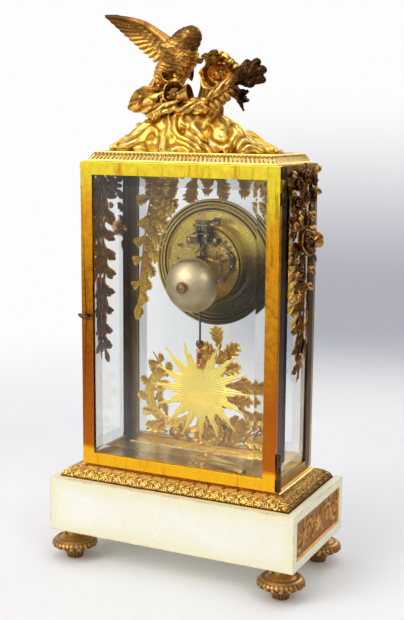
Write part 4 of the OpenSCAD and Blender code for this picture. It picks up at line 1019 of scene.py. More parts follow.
    def make(
            self, finish: Finish, body: str = "case", replaces: tuple[str, ...] = (),
            sharp: float = 50.0) -> bpy.types.Object:
        """Makes the object, gives it its finish and body, and reports it.

        Args:
            finish: its finish.
            body: the CAD body it rides on.
            replaces: CAD nodes that it stands for.
            sharp: edges bent more than this many degrees stay crisp.

        Returns:
            The new object.
        """
        mesh = self.mesh()
        mesh.shade_smooth()
        mesh.set_sharp_from_angle(angle=math.radians(sharp))
        return dress(bpy.data.objects.new(self.name, mesh), finish, body, replaces)


def dress(
        piece: bpy.types.Object, finish: Finish, body: str,
        replaces: tuple[str, ...] = ()) -> bpy.types.Object:
    """Gives a new piece its finish and body, and logs it.

    Args:
        piece: the object.
        finish: its finish.
        body: the CAD body it rides on.
        replaces: CAD nodes that it stands for.

    Returns:
        The same object.
    """
    show(piece)
    piece.data.materials.clear()
    piece.data.materials.append(finish.material(GROUPS))
    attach(piece, body)
    if replaces:
        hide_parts(*replaces)
    LOG.info(
        "%s: %d faces, rides on %s, %s", piece.name, len(piece.data.polygons), body, finish.name)
    return piece


def keep(node: str, finish: Finish, soften_mm: float = 0.0) -> None:
    """Keeps a CAD node, in a better finish and with its edges eased.

    Args:
        node: the CAD node's name.
        finish: its finish.
        soften_mm: width of the small round on its edges.
    """
    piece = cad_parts[node]
    piece.data.materials.clear()
    piece.data.materials.append(finish.material(GROUPS))
    if soften_mm:
        weld = piece.modifiers.new("weld", "WELD")
        weld.merge_threshold = WELD
        ease = piece.modifiers.new("ease", "BEVEL")
        ease.width, ease.segments, ease.limit_method = soften_mm * MM, 2, "ANGLE"
        ease.angle_limit, ease.harden_normals = math.radians(35), True
    LOG.info("%s kept, %s", node, finish.name)


def fused(parts: Casting, voxel: float, smoothing: int) -> tuple[Array, Array, Array]:
    """Melts the parts of a casting into one skin.

    Args:
        parts: what is melted together.
        voxel: size of the smallest detail kept.
        smoothing: rounds of smoothing.

    Returns:
        Points in millimetres, faces and outward normals.
    """
    rough = bpy.data.objects.new("melt", parts.mesh())
    show(rough)
    remesh = rough.modifiers.new("melt", "REMESH")
    remesh.mode, remesh.voxel_size, remesh.adaptivity = "VOXEL", voxel * MM, 0.0
    shape = rough.evaluated_get(bpy.context.evaluated_depsgraph_get()).to_mesh()
    points = np.zeros(len(shape.vertices) * 3)
    shape.vertices.foreach_get("co", points)
    points = points.reshape(-1, 3) / MM
    faces = np.zeros(len(shape.polygons) * 4, int)
    shape.polygons.foreach_get("vertices", faces)
    faces = faces.reshape(-1, 4)
    edges = np.concatenate([faces[:, [0, 1]], faces[:, [1, 2]], faces[:, [2, 3]], faces[:, [3, 0]]])
    both = np.concatenate([edges, edges[:, ::-1]])
    degree = np.bincount(both[:, 0], minlength=len(points))[:, None]
    for _ in range(smoothing):
        near = np.stack(
            [np.bincount(both[:, 0], points[both[:, 1], k], len(points)) for k in range(3)], 1)
        points = 0.4 * points + 0.6 * near / degree
    cross = np.cross(
        points[faces[:, 2]] - points[faces[:, 0]], points[faces[:, 3]] - points[faces[:, 1]])
    normal = np.zeros_like(points)
    for k in range(4):
        for axis in range(3):
            normal[:, axis] += np.bincount(faces[:, k], cross[:, axis], len(points))
    bpy.data.meshes.remove(rough.data)
    return points, faces, unit(normal)


# Studio.


@dataclass
class Studio:
    """Camera, soft lamps, pale floor and backdrop."""

    camera_at: Triple = (-0.4949, 1.0163, 0.4601)
    camera_right: Triple = (-0.9001, -0.4356, 0.0075)
    camera_up: Triple = (0.0797, -0.1477, 0.9858)
    camera_ahead: Triple = (0.4283, -0.8879, -0.1677)
    lens_mm: float = 64.88
    floor_radius: float = 1.6
    floor_sides: int = 96
    floor_sink: float = 0.0002
    sensor_mm: float = 36.0
    aim: Triple = (0.0, 0.0, 0.28)
    lamps: tuple[tuple[str, Triple, float, float, Colour], ...] = (
        ("key_softbox", (0.85, 1.55, 1.45), 1.3, 22.5, (1.0, 0.99, 0.975)),
        ("side_softbox", (-1.15, 0.85, 1.2), 0.6, 4.8, (1.0, 0.99, 0.98)),
        ("front_softbox", (-0.5, -1.6, 1.2), 1.4, 9.0, (1.0, 1.0, 1.0)),
        ("top_softbox", (0.2, 0.1, 1.9), 1.5, 8.0, (1.0, 1.0, 1.0)))
    shaded_way: Triple = (-0.75, -0.66, 0.0)
    shade: Colour = (0.44, 0.44, 0.50)

    def camera(self) -> None:
        """Sets the camera where the photograph was taken from."""
        data = bpy.data.cameras.new("studio_camera")
        data.lens, data.sensor_width = self.lens_mm, self.sensor_mm
        made = bpy.data.objects.new("studio_camera", data)
        rows = Matrix(
            (self.camera_right, self.camera_up, [-v for v in self.camera_ahead])).transposed()
        made.matrix_world = Matrix.Translation(self.camera_at) @ rows.to_4x4()
        show(made)
        bpy.context.scene.camera = made

    def lamp(self, name: str, at: Triple, size: float, watts: float, colour: Colour) -> None:
        """Hangs one square softbox, turned to the clock.

        Args:
            name: its name.
            at: where it hangs, in metres.
            size: its side, in metres.
            watts: its power.
            colour: its colour.
        """
        data = bpy.data.lights.new(name, "AREA")
        data.shape, data.size, data.energy, data.color = "SQUARE", size, watts, colour
        made = bpy.data.objects.new(name, data)
        made.location = at
        made.rotation_euler = (Vector(self.aim) - Vector(at)).to_track_quat("-Z", "Y").to_euler()
        show(made)

    def backdrop(self) -> None:
        """Paints the world: a pale cyclorama to what sees it, a dimmer dome to diffuse light."""
        world = bpy.data.worlds.new("cyclorama")
        bpy.context.scene.world = world
        world.use_nodes = True
        graph = Graph(world.node_tree)
        way = graph.add("TexCoord").outputs["Generated"]
        across = graph.dot(way, self.shaded_way)
        x, y, z = graph.split(way)
        above = graph.span(z, -0.15, 0.03, 1.0, 0.0)
        below = graph.span(z, -0.26, -0.175, 0.36, 1.0)
        shaded = graph.times(graph.span(across, 0.20, 0.36), graph.times(above, below))
        pale = graph.blend(shaded, (0.98, 0.98, 0.98), self.shade)
        pale = graph.blend(graph.span(x, 0.10, -0.55, 0.0, 0.9), pale, (0.10, 0.10, 0.11))
        pale = graph.blend(graph.span(z, 0.35, 0.8), pale, (0.50, 0.50, 0.51))
        rear = graph.times(graph.span(y, 0.2, 0.6), graph.span(z, 0.0, -0.15, 0.0, 0.85))
        pale = graph.blend(rear, pale, (0.06, 0.06, 0.07))
        light = graph.add("LightPath")
        seen = graph.math(
            "MAXIMUM", light.outputs["Is Camera Ray"], graph.math("MAXIMUM",
            light.outputs["Is Glossy Ray"], light.outputs["Is Transmission Ray"]))
        colour = graph.blend(seen, (0.38, 0.38, 0.40), pale)
        graph.fill(world.node_tree.nodes["Background"], Color=colour, Strength=1.0)

    def floor(self) -> None:
        """Lays the pale floor, which thins out into the backdrop far from the clock."""
        mesh = bpy.data.meshes.new("studio_floor")
        turn = circle(self.floor_sides)
        ring = [
            (self.floor_radius * math.cos(a), self.floor_radius * math.sin(a), -self.floor_sink)
            for a in turn]
        mesh.from_pydata(ring, [], [list(range(self.floor_sides))])
        made = bpy.data.objects.new("studio_floor", mesh)
        show(made)
        paper = bpy.data.materials.new("floor_paper")
        paper.use_nodes = True
        graph = Graph(paper.node_tree)
        shader = paper.node_tree.nodes["Principled BSDF"]
        place = graph.place()
        mottle = graph.noise(place, 6.0, 3.0)
        graph.feed(
            shader.inputs["Base Color"],
            graph.blend(graph.span(mottle, 0.3, 0.7), (0.985, 0.985, 0.99), (0.96, 0.96, 0.97)))
        graph.feed(shader.inputs["Roughness"], 0.6)
        reach = graph.add("VectorMath", operation="LENGTH")
        graph.feed(reach.inputs[0], place)
        graph.feed(shader.inputs["Alpha"], graph.span(reach.outputs["Value"], 0.35, 1.3, 1.0, 0.0))
        made.data.materials.append(paper)

    def build(self) -> None:
        """Sets up the whole studio."""
        scene = bpy.context.scene
        scene.view_settings.view_transform = "Standard"
        self.camera()
        self.backdrop()
        self.floor()
        for lamp in self.lamps:
            self.lamp(*lamp)


# Plinth.


class Panel:
    """Low relief drawn on a flat panel by stamping leaves, scrolls and flowers."""

    def __init__(self, width: float, height: float, pitch: float) -> None:
        """Lays out the panel's grid.

        Args:
            width: its length, in millimetres.
            height: its height.
            pitch: distance between grid points.
        """
        self.x, self.y = np.meshgrid(np.linspace(-width / 2, width / 2, int(width / pitch)),
                                     np.linspace(-height / 2, height / 2, int(height / pitch)))
        self.width, self.height = width, height
        self.relief = np.zeros_like(self.x)

    def lay(self, height: Array) -> None:
        """Lays a form on the panel where it is higher than what is there."""
        self.relief = np.maximum(self.relief, height)

    def leaf(self, at: Pair, angle: float, length: float, width: float, high: float = 1.0) -> None:
        """Stamps one acanthus leaf, growing from a point at an angle in degrees."""
        c, s = math.cos(math.radians(angle)), math.sin(math.radians(angle))
        dx, dy = self.x - at[0], self.y - at[1]
        along, across = (dx * c + dy * s) / length, (-dx * s + dy * c) / (width / 2)
        near = (along > -0.1) & (along < 1.1) & (np.abs(across) < 1.1)
        form = np.zeros_like(self.x)
        form[near] = high * acanthus(across[near], along[near], 3.5)
        self.lay(form)

    def scroll(
            self, at: Pair, radius: float, start: float, turns: float, thick: float,
            high: float = 0.9) -> None:
        """Stamps a rolled stem that winds inward about a point."""
        for share in np.linspace(0, 1, int(70 * abs(turns))):
            angle = math.radians(start) + share * turns * 2 * math.pi
            r = radius * (1 - 0.86 * share)
            px, py = at[0] + r * math.cos(angle), at[1] + r * math.sin(angle)
            reach = np.hypot(self.x - px, self.y - py) / (thick * (1 - 0.45 * share))
            self.lay(high * np.sqrt(np.clip(1 - reach**2, 0, 1)))

    def flower(self, at: Pair, radius: float, petals: int, high: float = 1.1) -> None:
        """Stamps a round flower with a beaded heart."""
        dx, dy = self.x - at[0], self.y - at[1]
        r, a = np.hypot(dx, dy) / radius, np.arctan2(dy, dx)
        petal = np.abs(np.cos(petals * a / 2)) ** 0.5
        form = 0.35 + 0.55 * petal * np.sin(np.pi * np.clip(r, 0, 1))
        form *= step(0.72 + 0.28 * petal - r, 0, 0.12)
        inner = step(0.42 - r, 0, 0.08) * (0.7 + 0.3 * np.abs(np.cos(petals * a / 2 + 0.5)))
        heart = np.sqrt(np.clip(1 - (r / 0.2) ** 2, 0, 1))
        self.lay(high * np.maximum(np.maximum(form, inner), heart))

    def rinceau(self, first: float, steps: int, reach: float) -> None:
        """Stamps running scrolls of leaves outward to both sides of the middle."""
        high = self.height / 2
        for side in (-1, 1):
            for k in range(steps):
                up = 1 if k % 2 == 0 else -1
                cx = side * (first + k * reach)
                start = 180 if side > 0 else 0
                self.scroll(
                    (cx, up * 0.06 * high), 0.62 * high, start, -up * side * 1.35, 0.11 * high)
                self.flower((cx, up * 0.06 * high), 0.25 * high, 5, 1.0)
                for turn, size in ((0, 0.6), (52, 0.62), (104, 0.55), (-48, 0.5)):
                    angle = 90 * up - side * up * turn
                    a = math.radians(angle)
                    root = (
                        cx + 0.5 * high * math.cos(a), up * 0.06 * high + 0.5 * high * math.sin(a))
                    self.leaf(root, angle + 38 * side * up, size * high, 0.42 * high, 0.9)
                self.leaf(
                    (cx + side * 0.56 * reach, -up * 0.5 * high), 90 * up + side * up * 26,
                    0.95 * high, 0.5 * high, 0.85)

    def border(self, width: float, high: float = 1.15) -> None:
        """Raises a plain border round the panel with a fine bead inside it."""
        edge = np.minimum(self.width / 2 - np.abs(self.x), self.height / 2 - np.abs(self.y))
        self.relief = np.where(edge < width + 0.9, 0, self.relief)
        self.lay(high * step(width - edge, 0, 0.35))
        level = self.height / 2 - np.abs(self.y) < self.width / 2 - np.abs(self.x)
        bead = np.abs(np.sin(np.pi * np.where(level, self.x, self.y) / 1.6)) ** 0.5
        self.lay(0.5 * bead * np.exp(-(((edge - width - 0.55) / 0.3) ** 2)))

    def cast(
            self, casting: Casting, back: float, deep: float, centre: object,
            right: object, up: object) -> None:
        """Adds the panel to a casting as a closed plate.

        Args:
            casting: takes the plate.
            back: thickness of the ground.
            deep: height of the relief.
            centre: middle of the panel's back.
            right: the panel's own right.
            up: the panel's own up.
        """
        rough = 0.06 * value_noise(np.stack([self.x, self.y, 0 * self.x], -1), 1.1, 3)
        lift = back + deep * np.clip(self.relief + rough * (self.relief < 1.12), -0.1, 1.3) / 1.3
        out = np.cross(right, up)
        grid = np.asarray(centre, float) + self.x[..., None] * np.asarray(right) + self.y[
            ..., None] * np.asarray(up) + lift[..., None] * out
        floor = grid - lift[..., None] * out
        rows, columns = self.x.shape
        near = np.stack(
            [np.concatenate([g[0], g[1:, -1], g[-1, -2::-1], g[-2:0:-1, 0]])
            for g in (grid, floor)])
        cavity = np.clip(0.40 + 0.42 * self.relief, 0, 1)
        casting.add(grid, quads(np.arange(rows * columns).reshape(rows, columns)), cavity)
        casting.loop(near, 0.5)
        corner = np.array([floor[0, 0], floor[0, -1], floor[-1, -1], floor[-1, 0]])
        casting.add(corner, [[3, 2, 1, 0]])


def square_sweep(half: Pair, profile: Array, relief: Shaper, pitch: float) -> Relief:
    """Runs a profile round a rectangle with mitred corners.

    Args:
        half: half width and half depth at profile offset 0.
        profile: rows of outward offset, height, outward and upward part of the relief's
            direction, and 1 where there is relief.
        relief: function of distance along the side from its middle, half length there, row
            share and side number, giving height and cavity.
        pitch: step along the sides.

    Returns:
        Grid of points with a row for each profile point, and the cavity values.
    """
    share = np.linspace(0, 1, len(profile))
    offset, high, out_part, up_part, carved = profile.T
    blocks, cavities = [], []
    for index in range(4):
        run, reach = (half[0], half[1]) if index % 2 == 0 else (half[1], half[0])
        count = int(2 * run / pitch)
        s = np.arange(count) / count * 2 - 1
        length = (run + offset)[:, None]
        along = s[None, :] * length
        lift, cavity = relief(along, length, share[:, None], index)
        out = (reach + offset)[:, None] + carved[:, None] * lift * out_part[:, None]
        x, y = along, -np.broadcast_to(out, along.shape)
        z = high[:, None] + carved[:, None] * lift * up_part[:, None]
        turn = index * math.pi / 2
        c, n = round(math.cos(turn)), round(math.sin(turn))
        blocks.append(np.stack([c * x - n * y, n * x + c * y, np.broadcast_to(z, x.shape)], -1))
        cavities.append(np.where(carved[:, None] > 0, cavity, 0.62))
    return np.concatenate(blocks, 1), np.concatenate(cavities, 1)


def carved_profile(plain: object, carved: object, count: int, plain_after: object) -> Array:
    """A closed profile of plain points, a resampled carved run, and plain points again."""
    run = np.asarray(carved, float)
    far = np.concatenate([[0], np.cumsum(np.linalg.norm(np.diff(run, axis=0), axis=1))])
    at = np.linspace(0, far[-1], count)
    fine = np.stack([np.interp(at, far, run[:, k]) for k in range(2)], 1)
    along = unit(np.gradient(fine, axis=0))
    rows = [[p[0], p[1], 0, 0, 0] for p in plain]
    rows += [[p[0], p[1], -t[1], t[0], 1] for p, t in zip(fine, along)]
    rows += [[p[0], p[1], 0, 0, 0] for p in plain_after]
    return np.array(rows, float)


@dataclass
class Plinth:
    """Marble block on four turned feet, with gilt panels let into it and a leaf moulding above."""

    foot_radius: float = 24.5
    foot_height: float = 33.0
    foot_x: float = 118.0
    foot_y: float = 53.0
    frieze_side: float = 124.0
    frieze_front: float = 212.0
    frieze_high: float = 39.5
    moulding_half: Pair = (129.0, 64.0)
    leaf_pitch: float = 16.1
    gap: float = 0.3
    recess: float = 2.7
    panel: Pair = (0.8, 1.9)
    beads: Pair = (10.6, 27.0)

    def foot(self) -> bpy.types.Mesh:
        """Turns one foot: domed disc with a leaf-carved edge, neck and toe."""
        r, h = self.foot_radius, self.foot_height
        outline = spline(
            [[0.01, 0], [7.8, 0.2], [8.6, 1.8], [10.6, 5.6], [15.0, 9.6], [20.2, 12.2],
            [r - 0.8, 14.2], [r - 0.4, 16.4], [r - 0.9, 18.2], [r - 2.8, 20.4], [19.6, 21.6],
            [18.3, 22.3], [17.4, 21.6], [15.4, 22.0], [13.6, 23.2], [10.4, 25.4], [8.4, 28.0],
            [8.0, 30.4], [9.2, h - 0.4], [0.01, h - 0.4]], 150)

        def leaves(turn: Array, share: Array) -> Relief:
            """Leaf tips under the rim and a rope of small tips round its edge."""
            around = (turn * 18 / np.pi) % 2 - 1
            low, middle, high, thin = 0.08, 0.38, 0.48, 0.008
            under = acanthus(around * 1.05, (share - low) / 0.30, 3.5)
            under = under * (share > low) * (share < middle)
            rim_turn = (turn * 30 / np.pi + 2.5 * share) % 2 - 1
            rise = np.sin(np.pi * np.clip((share - 0.35) / 0.13, 0, 1)) ** 0.5
            height = np.maximum(under, 0.9 * ((1 - np.abs(rim_turn)) ** 0.6 * rise))
            zone = (share > low) & (share < high)
            groove = sum(np.exp(-(((share - at) / thin) ** 2)) for at in (0.56, 0.64))
            lift = np.where(zone, 0.7 * height - 0.65, -0.25 * groove)
            return lift, np.where(zone, 0.18 + 0.6 * height, 0.6 - 0.4 * groove)

        casting = Casting("turned_foot")
        casting.spun(outline, (0, 0, 0), sides=224, relief=leaves)
        for k in range(3):
            a = math.radians(40 + 120 * k)
            casting.ball(
                (self.beads[0] * math.cos(a), self.beads[0] * math.sin(a), self.beads[1]), 1.7,
                cavity=1.0)
        mesh = casting.mesh()
        mesh.shade_smooth()
        return mesh

    def feet(self) -> None:
        """Sets the four feet under the block."""
        mesh = self.foot()
        for row, y in (("front", -self.foot_y), ("rear", self.foot_y)):
            for side in Side:
                label = f"{row}_{side.name.lower()}"
                piece = bpy.data.objects.new("carved_foot_" + label, mesh)
                piece.location = (side.value * self.foot_x * MM, y * MM, 0)
                dress(piece, FINISH.foot, "case", ("foot_" + label,))

    def block(self) -> None:
        """Keeps the marble block with its recesses, its edges eased."""
        keep("marble_plinth", FINISH.marble, 0.7)

    def friezes(self) -> None:
        """Casts the relief panels for both ends and the front."""
        low, high = box_mm("side_friezes")
        z = (low[2] + high[2]) / 2
        ends = Panel(self.frieze_side - self.gap, self.frieze_high - self.gap, 0.36)
        ends.flower((0, 0), 9.5, 8, 1.25)
        for side in (-1, 1):
            for turn in (-1, 1):
                ends.leaf((side * 7, turn * 3), (0 if side > 0 else 180) + turn * side * 48, 12, 8)
        ends.rinceau(28.0, 2, 24.0)
        ends.border(1.6)
        casting = Casting("end_friezes_relief")
        for side in Side:
            x = side.value * (high[0] - self.recess)
            ends.cast(casting, *self.panel, (x, 0, z), (0, side.value, 0), UP)
        casting.make(FINISH.frieze, replaces=("side_friezes",))
        front_low, _ = box_mm("front_frieze")
        front = Panel(self.frieze_front - self.gap, self.frieze_high - self.gap, 0.4)
        front.flower((0, 0), 11, 8, 1.25)
        front.rinceau(29.0, 3, 30.0)
        front.border(1.6)
        casting = Casting("front_frieze_relief")
        front.cast(casting, *self.panel, (0, front_low[1] + self.recess, z), ALONG_X, UP)
        casting.make(FINISH.frieze, replaces=("front_frieze",))

    @staticmethod
    def scrolled(across: Array, down: Array) -> Array:
        """One leaf of the moulding: slanting ridges that curl round lobed bosses."""
        lean = across + 0.62 * np.sin(np.pi * np.clip(down, 0, 1)) - 0.25
        ridge = np.abs(np.cos(np.pi * (3.4 * lean + 3.6 * down))) ** 0.7
        height = 0.26 + 0.5 * ridge * (0.5 + 0.5 * step(1.0 - np.abs(lean), 0.0, 0.3))
        for x, y, size, beads in (
                (0.10, 0.74, 0.62, 5), (-0.62, 0.55, 0.36, 4), (0.66, 0.42, 0.30, 3)):
            dx, dy = across - x, 2.7 * (down - y)
            r, a = np.hypot(dx, dy) / size, np.arctan2(dy, dx)
            curl = (0.30 + 0.45 * np.abs(np.cos(0.5 * beads * a - 3.6 * r)) ** 0.8) * step(
                1.05 - r, 0, 0.2)
            boss = np.sqrt(np.clip(1 - (r / 0.5) ** 2, 0, 1))
            boss *= 0.9 + 0.2 * np.cos(beads * a + 0.8)
            height = np.where(r < 1.0, np.maximum(curl, boss * (0.7 + 0.5 * size)), height)
        return height

    def moulding(self) -> None:
        """Runs the leaf moulding round the block, a broad leaf wrapping each corner."""
        low, high = box_mm("base_moulding")
        top, plain, carved, rows = high[2] - low[2], 5, 46, 53
        curve = spline(
            [[-17.5, top - 1.3], [-12, top - 2.3], [-8, top - 4.0], [-4.4, top - 6.6],
            [-1.6, top - 9.8], [-0.3, 1.2]], 40)
        profile = carved_profile(
            [[-34, 0], [-34, top], [-18.6, top], [-18.1, top - 0.3], [-18.0, top - 1.2]], curve,
            carved, [[-0.1, 0.6], [-0.2, 0.0]])

        def leaves(along: Array, length: Array, share: Array, index: int) -> Relief:
            """Ridged leaves that sway sideways, mirrored about the middle of each side."""
            down = (share - plain / rows) / (carved / rows)
            inside = np.clip(down, 0, 1)
            corner = length - np.abs(along)
            full = float(length.max())
            count = round(2 * (full - 10) / self.leaf_pitch)
            pitch = 2 * (full - 10) / count
            beside = np.abs(along) / pitch + (0.5 if count % 2 else 0.0)
            across = (2 * (beside % 1) - 1) * np.where(along < 0, -1, 1)
            wide = 3.0 + 12.5 * inside ** 0.9
            across = np.where(corner < 0.98 * wide, corner / wide, across)
            height = self.scrolled(across, inside)
            height *= step(inside, 0.0, 0.05) * step(1 - inside, 0.0, 0.03)
            grit = 0.09 * value_noise(
                np.stack([along, 22 * down + 0 * along, 0 * along + 40 * index], -1), 1.2, 5)
            lift = 2.1 * (height + grit) - 1.95
            cavity = 0.04 + 0.86 * height + grit + 0.6 * (inside < 0.06)
            return lift * step(inside, 0.0, 0.1), np.clip(cavity, 0, 1)

        grid, cavity = square_sweep(self.moulding_half, profile, leaves, 0.62)
        grid[..., 2] += low[2]
        casting = Casting("leaf_moulding")
        casting.loop(grid, cavity, True)
        casting.make(FINISH.moulding, replaces=("base_moulding",))

    def build(self) -> None:
        """Builds the plinth from the feet up."""
        self.feet()
        self.block()
        self.friezes()
        self.moulding()


# Cage.


@dataclass
class Cage:
    """Brass frames, posts, rails and bevelled glasses, with the leaf-tip cornice on top."""

    cornice_half: Pair = (103.4, 45.1)
    tip_pitch: float = 4.6
    ease: float = 0.35

    def frames(self) -> None:
        """Finishes the doors, rails, hinges and knobs."""
        keep("rear_door_frame", FINISH.lacquer, self.ease)
        keep("front_door_frame", FINISH.front_frame, self.ease)
        for node in ("bottom_frame", "top_frame"):
            keep(node, FINISH.rail, self.ease)
        for row in ("front", "rear"):
            for side in Side:
                keep(f"post_{row}_{side.name.lower()}", FINISH.post, 0.25)
        keep("rear_latch", FINISH.post)
        keep("front_latch", FINISH.brass)
        keep("hinge_pins", FINISH.post)
        keep("floor_plate", FINISH.floor, 0.25)

    def glasses(self) -> None:
        """Finishes the four glasses."""
        for node in ("side_glass_left", "side_glass_right", "rear_door_glass", "front_door_glass"):
            keep(node, FINISH.glass)

    def cornice(self) -> None:
        """Runs the cornice with its band of small upright leaf tips."""
        low, high = box_mm("cornice")
        top = high[2] - low[2]
        curve = [[-4.6, top - 1.9], [-3.4, 6.6], [-2.0, 4.6], [-0.9, 3.0], [-0.4, 2.2]]
        profile = carved_profile(
            [[-16, 0], [-16, top], [-6.2, top], [-5.9, top - 0.3], [-5.9, top - 1.0],
            [-5.2, top - 1.4]], curve, 20, [[-0.3, 1.7], [0, 1.4], [0, 0]])

        def tips(along: Array, length: Array, share: Array, index: int) -> Relief:
            """A row of pointed leaves standing side by side."""
            up = 1 - (share * 28 - 6) / 19
            count = round(2 * float(length.max()) / self.tip_pitch)
            pitch = 2 * length / count
            across = 2 * ((along / pitch + 0.5 * (count % 2)) % 1) - 1
            half = np.cos(0.5 * np.pi * np.clip(up, 0, 1) ** 1.6) ** 0.7
            leaf = step(half * 0.96 - np.abs(across), 0, 0.22)
            leaf *= 0.55 + 0.45 * np.exp(-((across / 0.2) ** 2))
            dart = 0.5 * step(0.3 - np.abs(np.abs(across) - 1), 0, 0.2) * (up > 0.45)
            height = np.maximum(leaf, dart)
            return height - 1.0, 0.12 + 0.75 * height

        grid, cavity = square_sweep(self.cornice_half, profile, tips, 0.5)
        grid[..., 2] += low[2]
        casting = Casting("leaf_tip_cornice")
        casting.loop(grid, cavity, True)
        casting.block((-90.5, -32.2, high[2] - 2.4), (90.5, 32.2, high[2]))
        casting.make(FINISH.cornice, replaces=("cornice",))

    def build(self) -> None:
        """Builds the cage."""
        self.frames()
        self.glasses()
        self.cornice()


# Flowers and garlands.


class Flowers:
    """Ways of making flowers, buds and leaves on a casting."""

    def __init__(self, casting: Casting, seed: int) -> None:
        """Works on one casting with its own fixed variation."""
        self.casting = casting
        self.chance = np.random.default_rng(seed)

    def rose(self, at: object, facing: object, radius: float, open_by: float = 1.0) -> None:
        """A rose with three rings of cupped petals round a wound heart.

        Args:
            at: middle of its foot.
            facing: the way it looks.
            radius: reach of its outer petals.
            open_by: 0 for closed to 1 for wide open.
        """
        side, ahead, other = axes(facing, (0.2, 0.3, 0.93))
        spot = np.asarray(at, float)
        for ring, (count, reach, tilt) in enumerate(
                ((5, 1.0, 0.35), (5, 0.78, 0.75), (4, 0.55, 1.1), (3, 0.36, 1.35))):
            for k in range(count):
                turn = 2 * math.pi * (k + 0.45 * ring) / count + self.chance.uniform(-0.12, 0.12)
                out = spoke(side, other, turn)
                lean = tilt + (1 - open_by) * 0.5
                way = out * math.cos(lean) + ahead * math.sin(lean)
                face = ahead * math.cos(lean) - out * math.sin(lean)
                self.casting.blade(
                    BLADE.petal, spot + ahead * 0.12 * radius * ring, way, face, reach * radius
                    * self.chance.uniform(0.92, 1.05), 1.15 * reach * radius, 0.55 + 0.2 * ring)
        self.casting.ball(spot + ahead * 0.42 * radius, 0.2 * radius, cavity=0.35)

    def bud(self, at: object, towards: object, length: float) -> None:
        """A closed bud with three sepals round it."""
        side, ahead, other = axes(towards, (0.9, 0.2, 0.3))
        spot = np.asarray(at, float)
        line = spot + np.outer(np.linspace(0.12, 1, 7), ahead) * length
        self.casting.tube(
            line, np.array([0.16, 0.27, 0.31, 0.29, 0.22, 0.13, 0.05]) * length, 12, cavity=0.7)
        for k in range(3):
            turn = 2.1 * k
            out = spoke(side, other, turn)
            self.casting.blade(
                BLADE.laurel, spot + out * 0.1 * length, ahead + 0.55 * out, out,
                0.85 * length, 0.42 * length, -0.9)

    def trumpet(self, at: object, towards: object, length: float, radius: float) -> None:
        """A long flower that opens to a thin flared mouth."""
        ahead = unit(towards)
        outer = [
            [0.01, 0], [0.14 * radius, 0.02 * length], [0.2 * radius, 0.4 * length],
            [0.42 * radius, 0.72 * length], [0.8 * radius, 0.92 * length], [radius, length],
            [radius - 0.3, length + 0.5], [0.72 * radius, 0.93 * length],
            [0.32 * radius, 0.74 * length], [0.01, 0.6 * length]]

        def lip(turn: Array, share: Array) -> Relief:
            """Five soft lobes at the mouth."""
            lobe = np.abs(np.cos(2.5 * turn)) * np.exp(-(((share - 0.55) / 0.14) ** 2))
            return 0.16 * radius * lobe, 0.75 - 0.6 * (share > 0.62) + 0 * turn

        self.casting.spun(spline(outer, 40), at, ahead, 40, lip)

    def daisy(self, at: object, facing: object, radius: float, petals: int = 6) -> None:
        """An open flower with a beaded heart."""
        side, ahead, other = axes(facing, (0.2, 0.3, 0.93))
        spot = np.asarray(at, float)
        for k in range(petals):
            turn = 2 * math.pi * k / petals
            out = spoke(side, other, turn)
            self.casting.blade(
                BLADE.petal, spot + out * 0.12 * radius, out + 0.25 * ahead, ahead,
                0.95 * radius, 0.95 * radius, 0.5)
        self.casting.ball(spot + ahead * 0.12 * radius, 0.26 * radius, cavity=0.8)

    def leaf(
            self, cut: Blade, at: object, towards: object, up: object, length: float, width: float,
            curl: float = 0.5) -> None:
        """A leaf with a little chance in its curl and turn."""
        curl *= self.chance.uniform(0.6, 1.3)
        twist = self.chance.uniform(-0.35, 0.35)
        self.casting.blade(cut, at, towards, up, length, width, curl, twist)

    def spray(
            self, path: object, cut: Blade, length: float, width: float, thick: float, rise: float,
            taper: float = 0.3) -> None:
        """A stem along a path lying in X and Z with leaves set off to both sides.

        Args:
            path: rows of points.
            cut: kind of leaf.
            length: length of the first leaves.
            width: their width.
            thick: radius of the stem.
            rise: how far the leaves' faces stand up from the ground.
            taper: how much smaller the last leaves are.
        """
        line = np.asarray(path, float)
        smooth = spline(line, 8 * len(line))
        self.casting.tube(smooth, np.linspace(thick, 0.55 * thick, len(smooth)), 9, up=FRONT)
        for k in range(len(line) - 1):
            way = line[k + 1] - line[k]
            angle = math.atan2(way[2], way[0])
            size = 1 - taper * k / len(line)
            for side in (-1, 1):
                turn = angle + side * math.radians(42 + 10 * (k % 2)) + self.chance.uniform(
                    -0.4, 0.4)
                out = np.array([math.cos(turn), -rise, math.sin(turn)])
                self.leaf(
                    cut, line[k], out, FRONT,
                    length * size * self.chance.uniform(0.7, 1.12), width * size, -0.5)


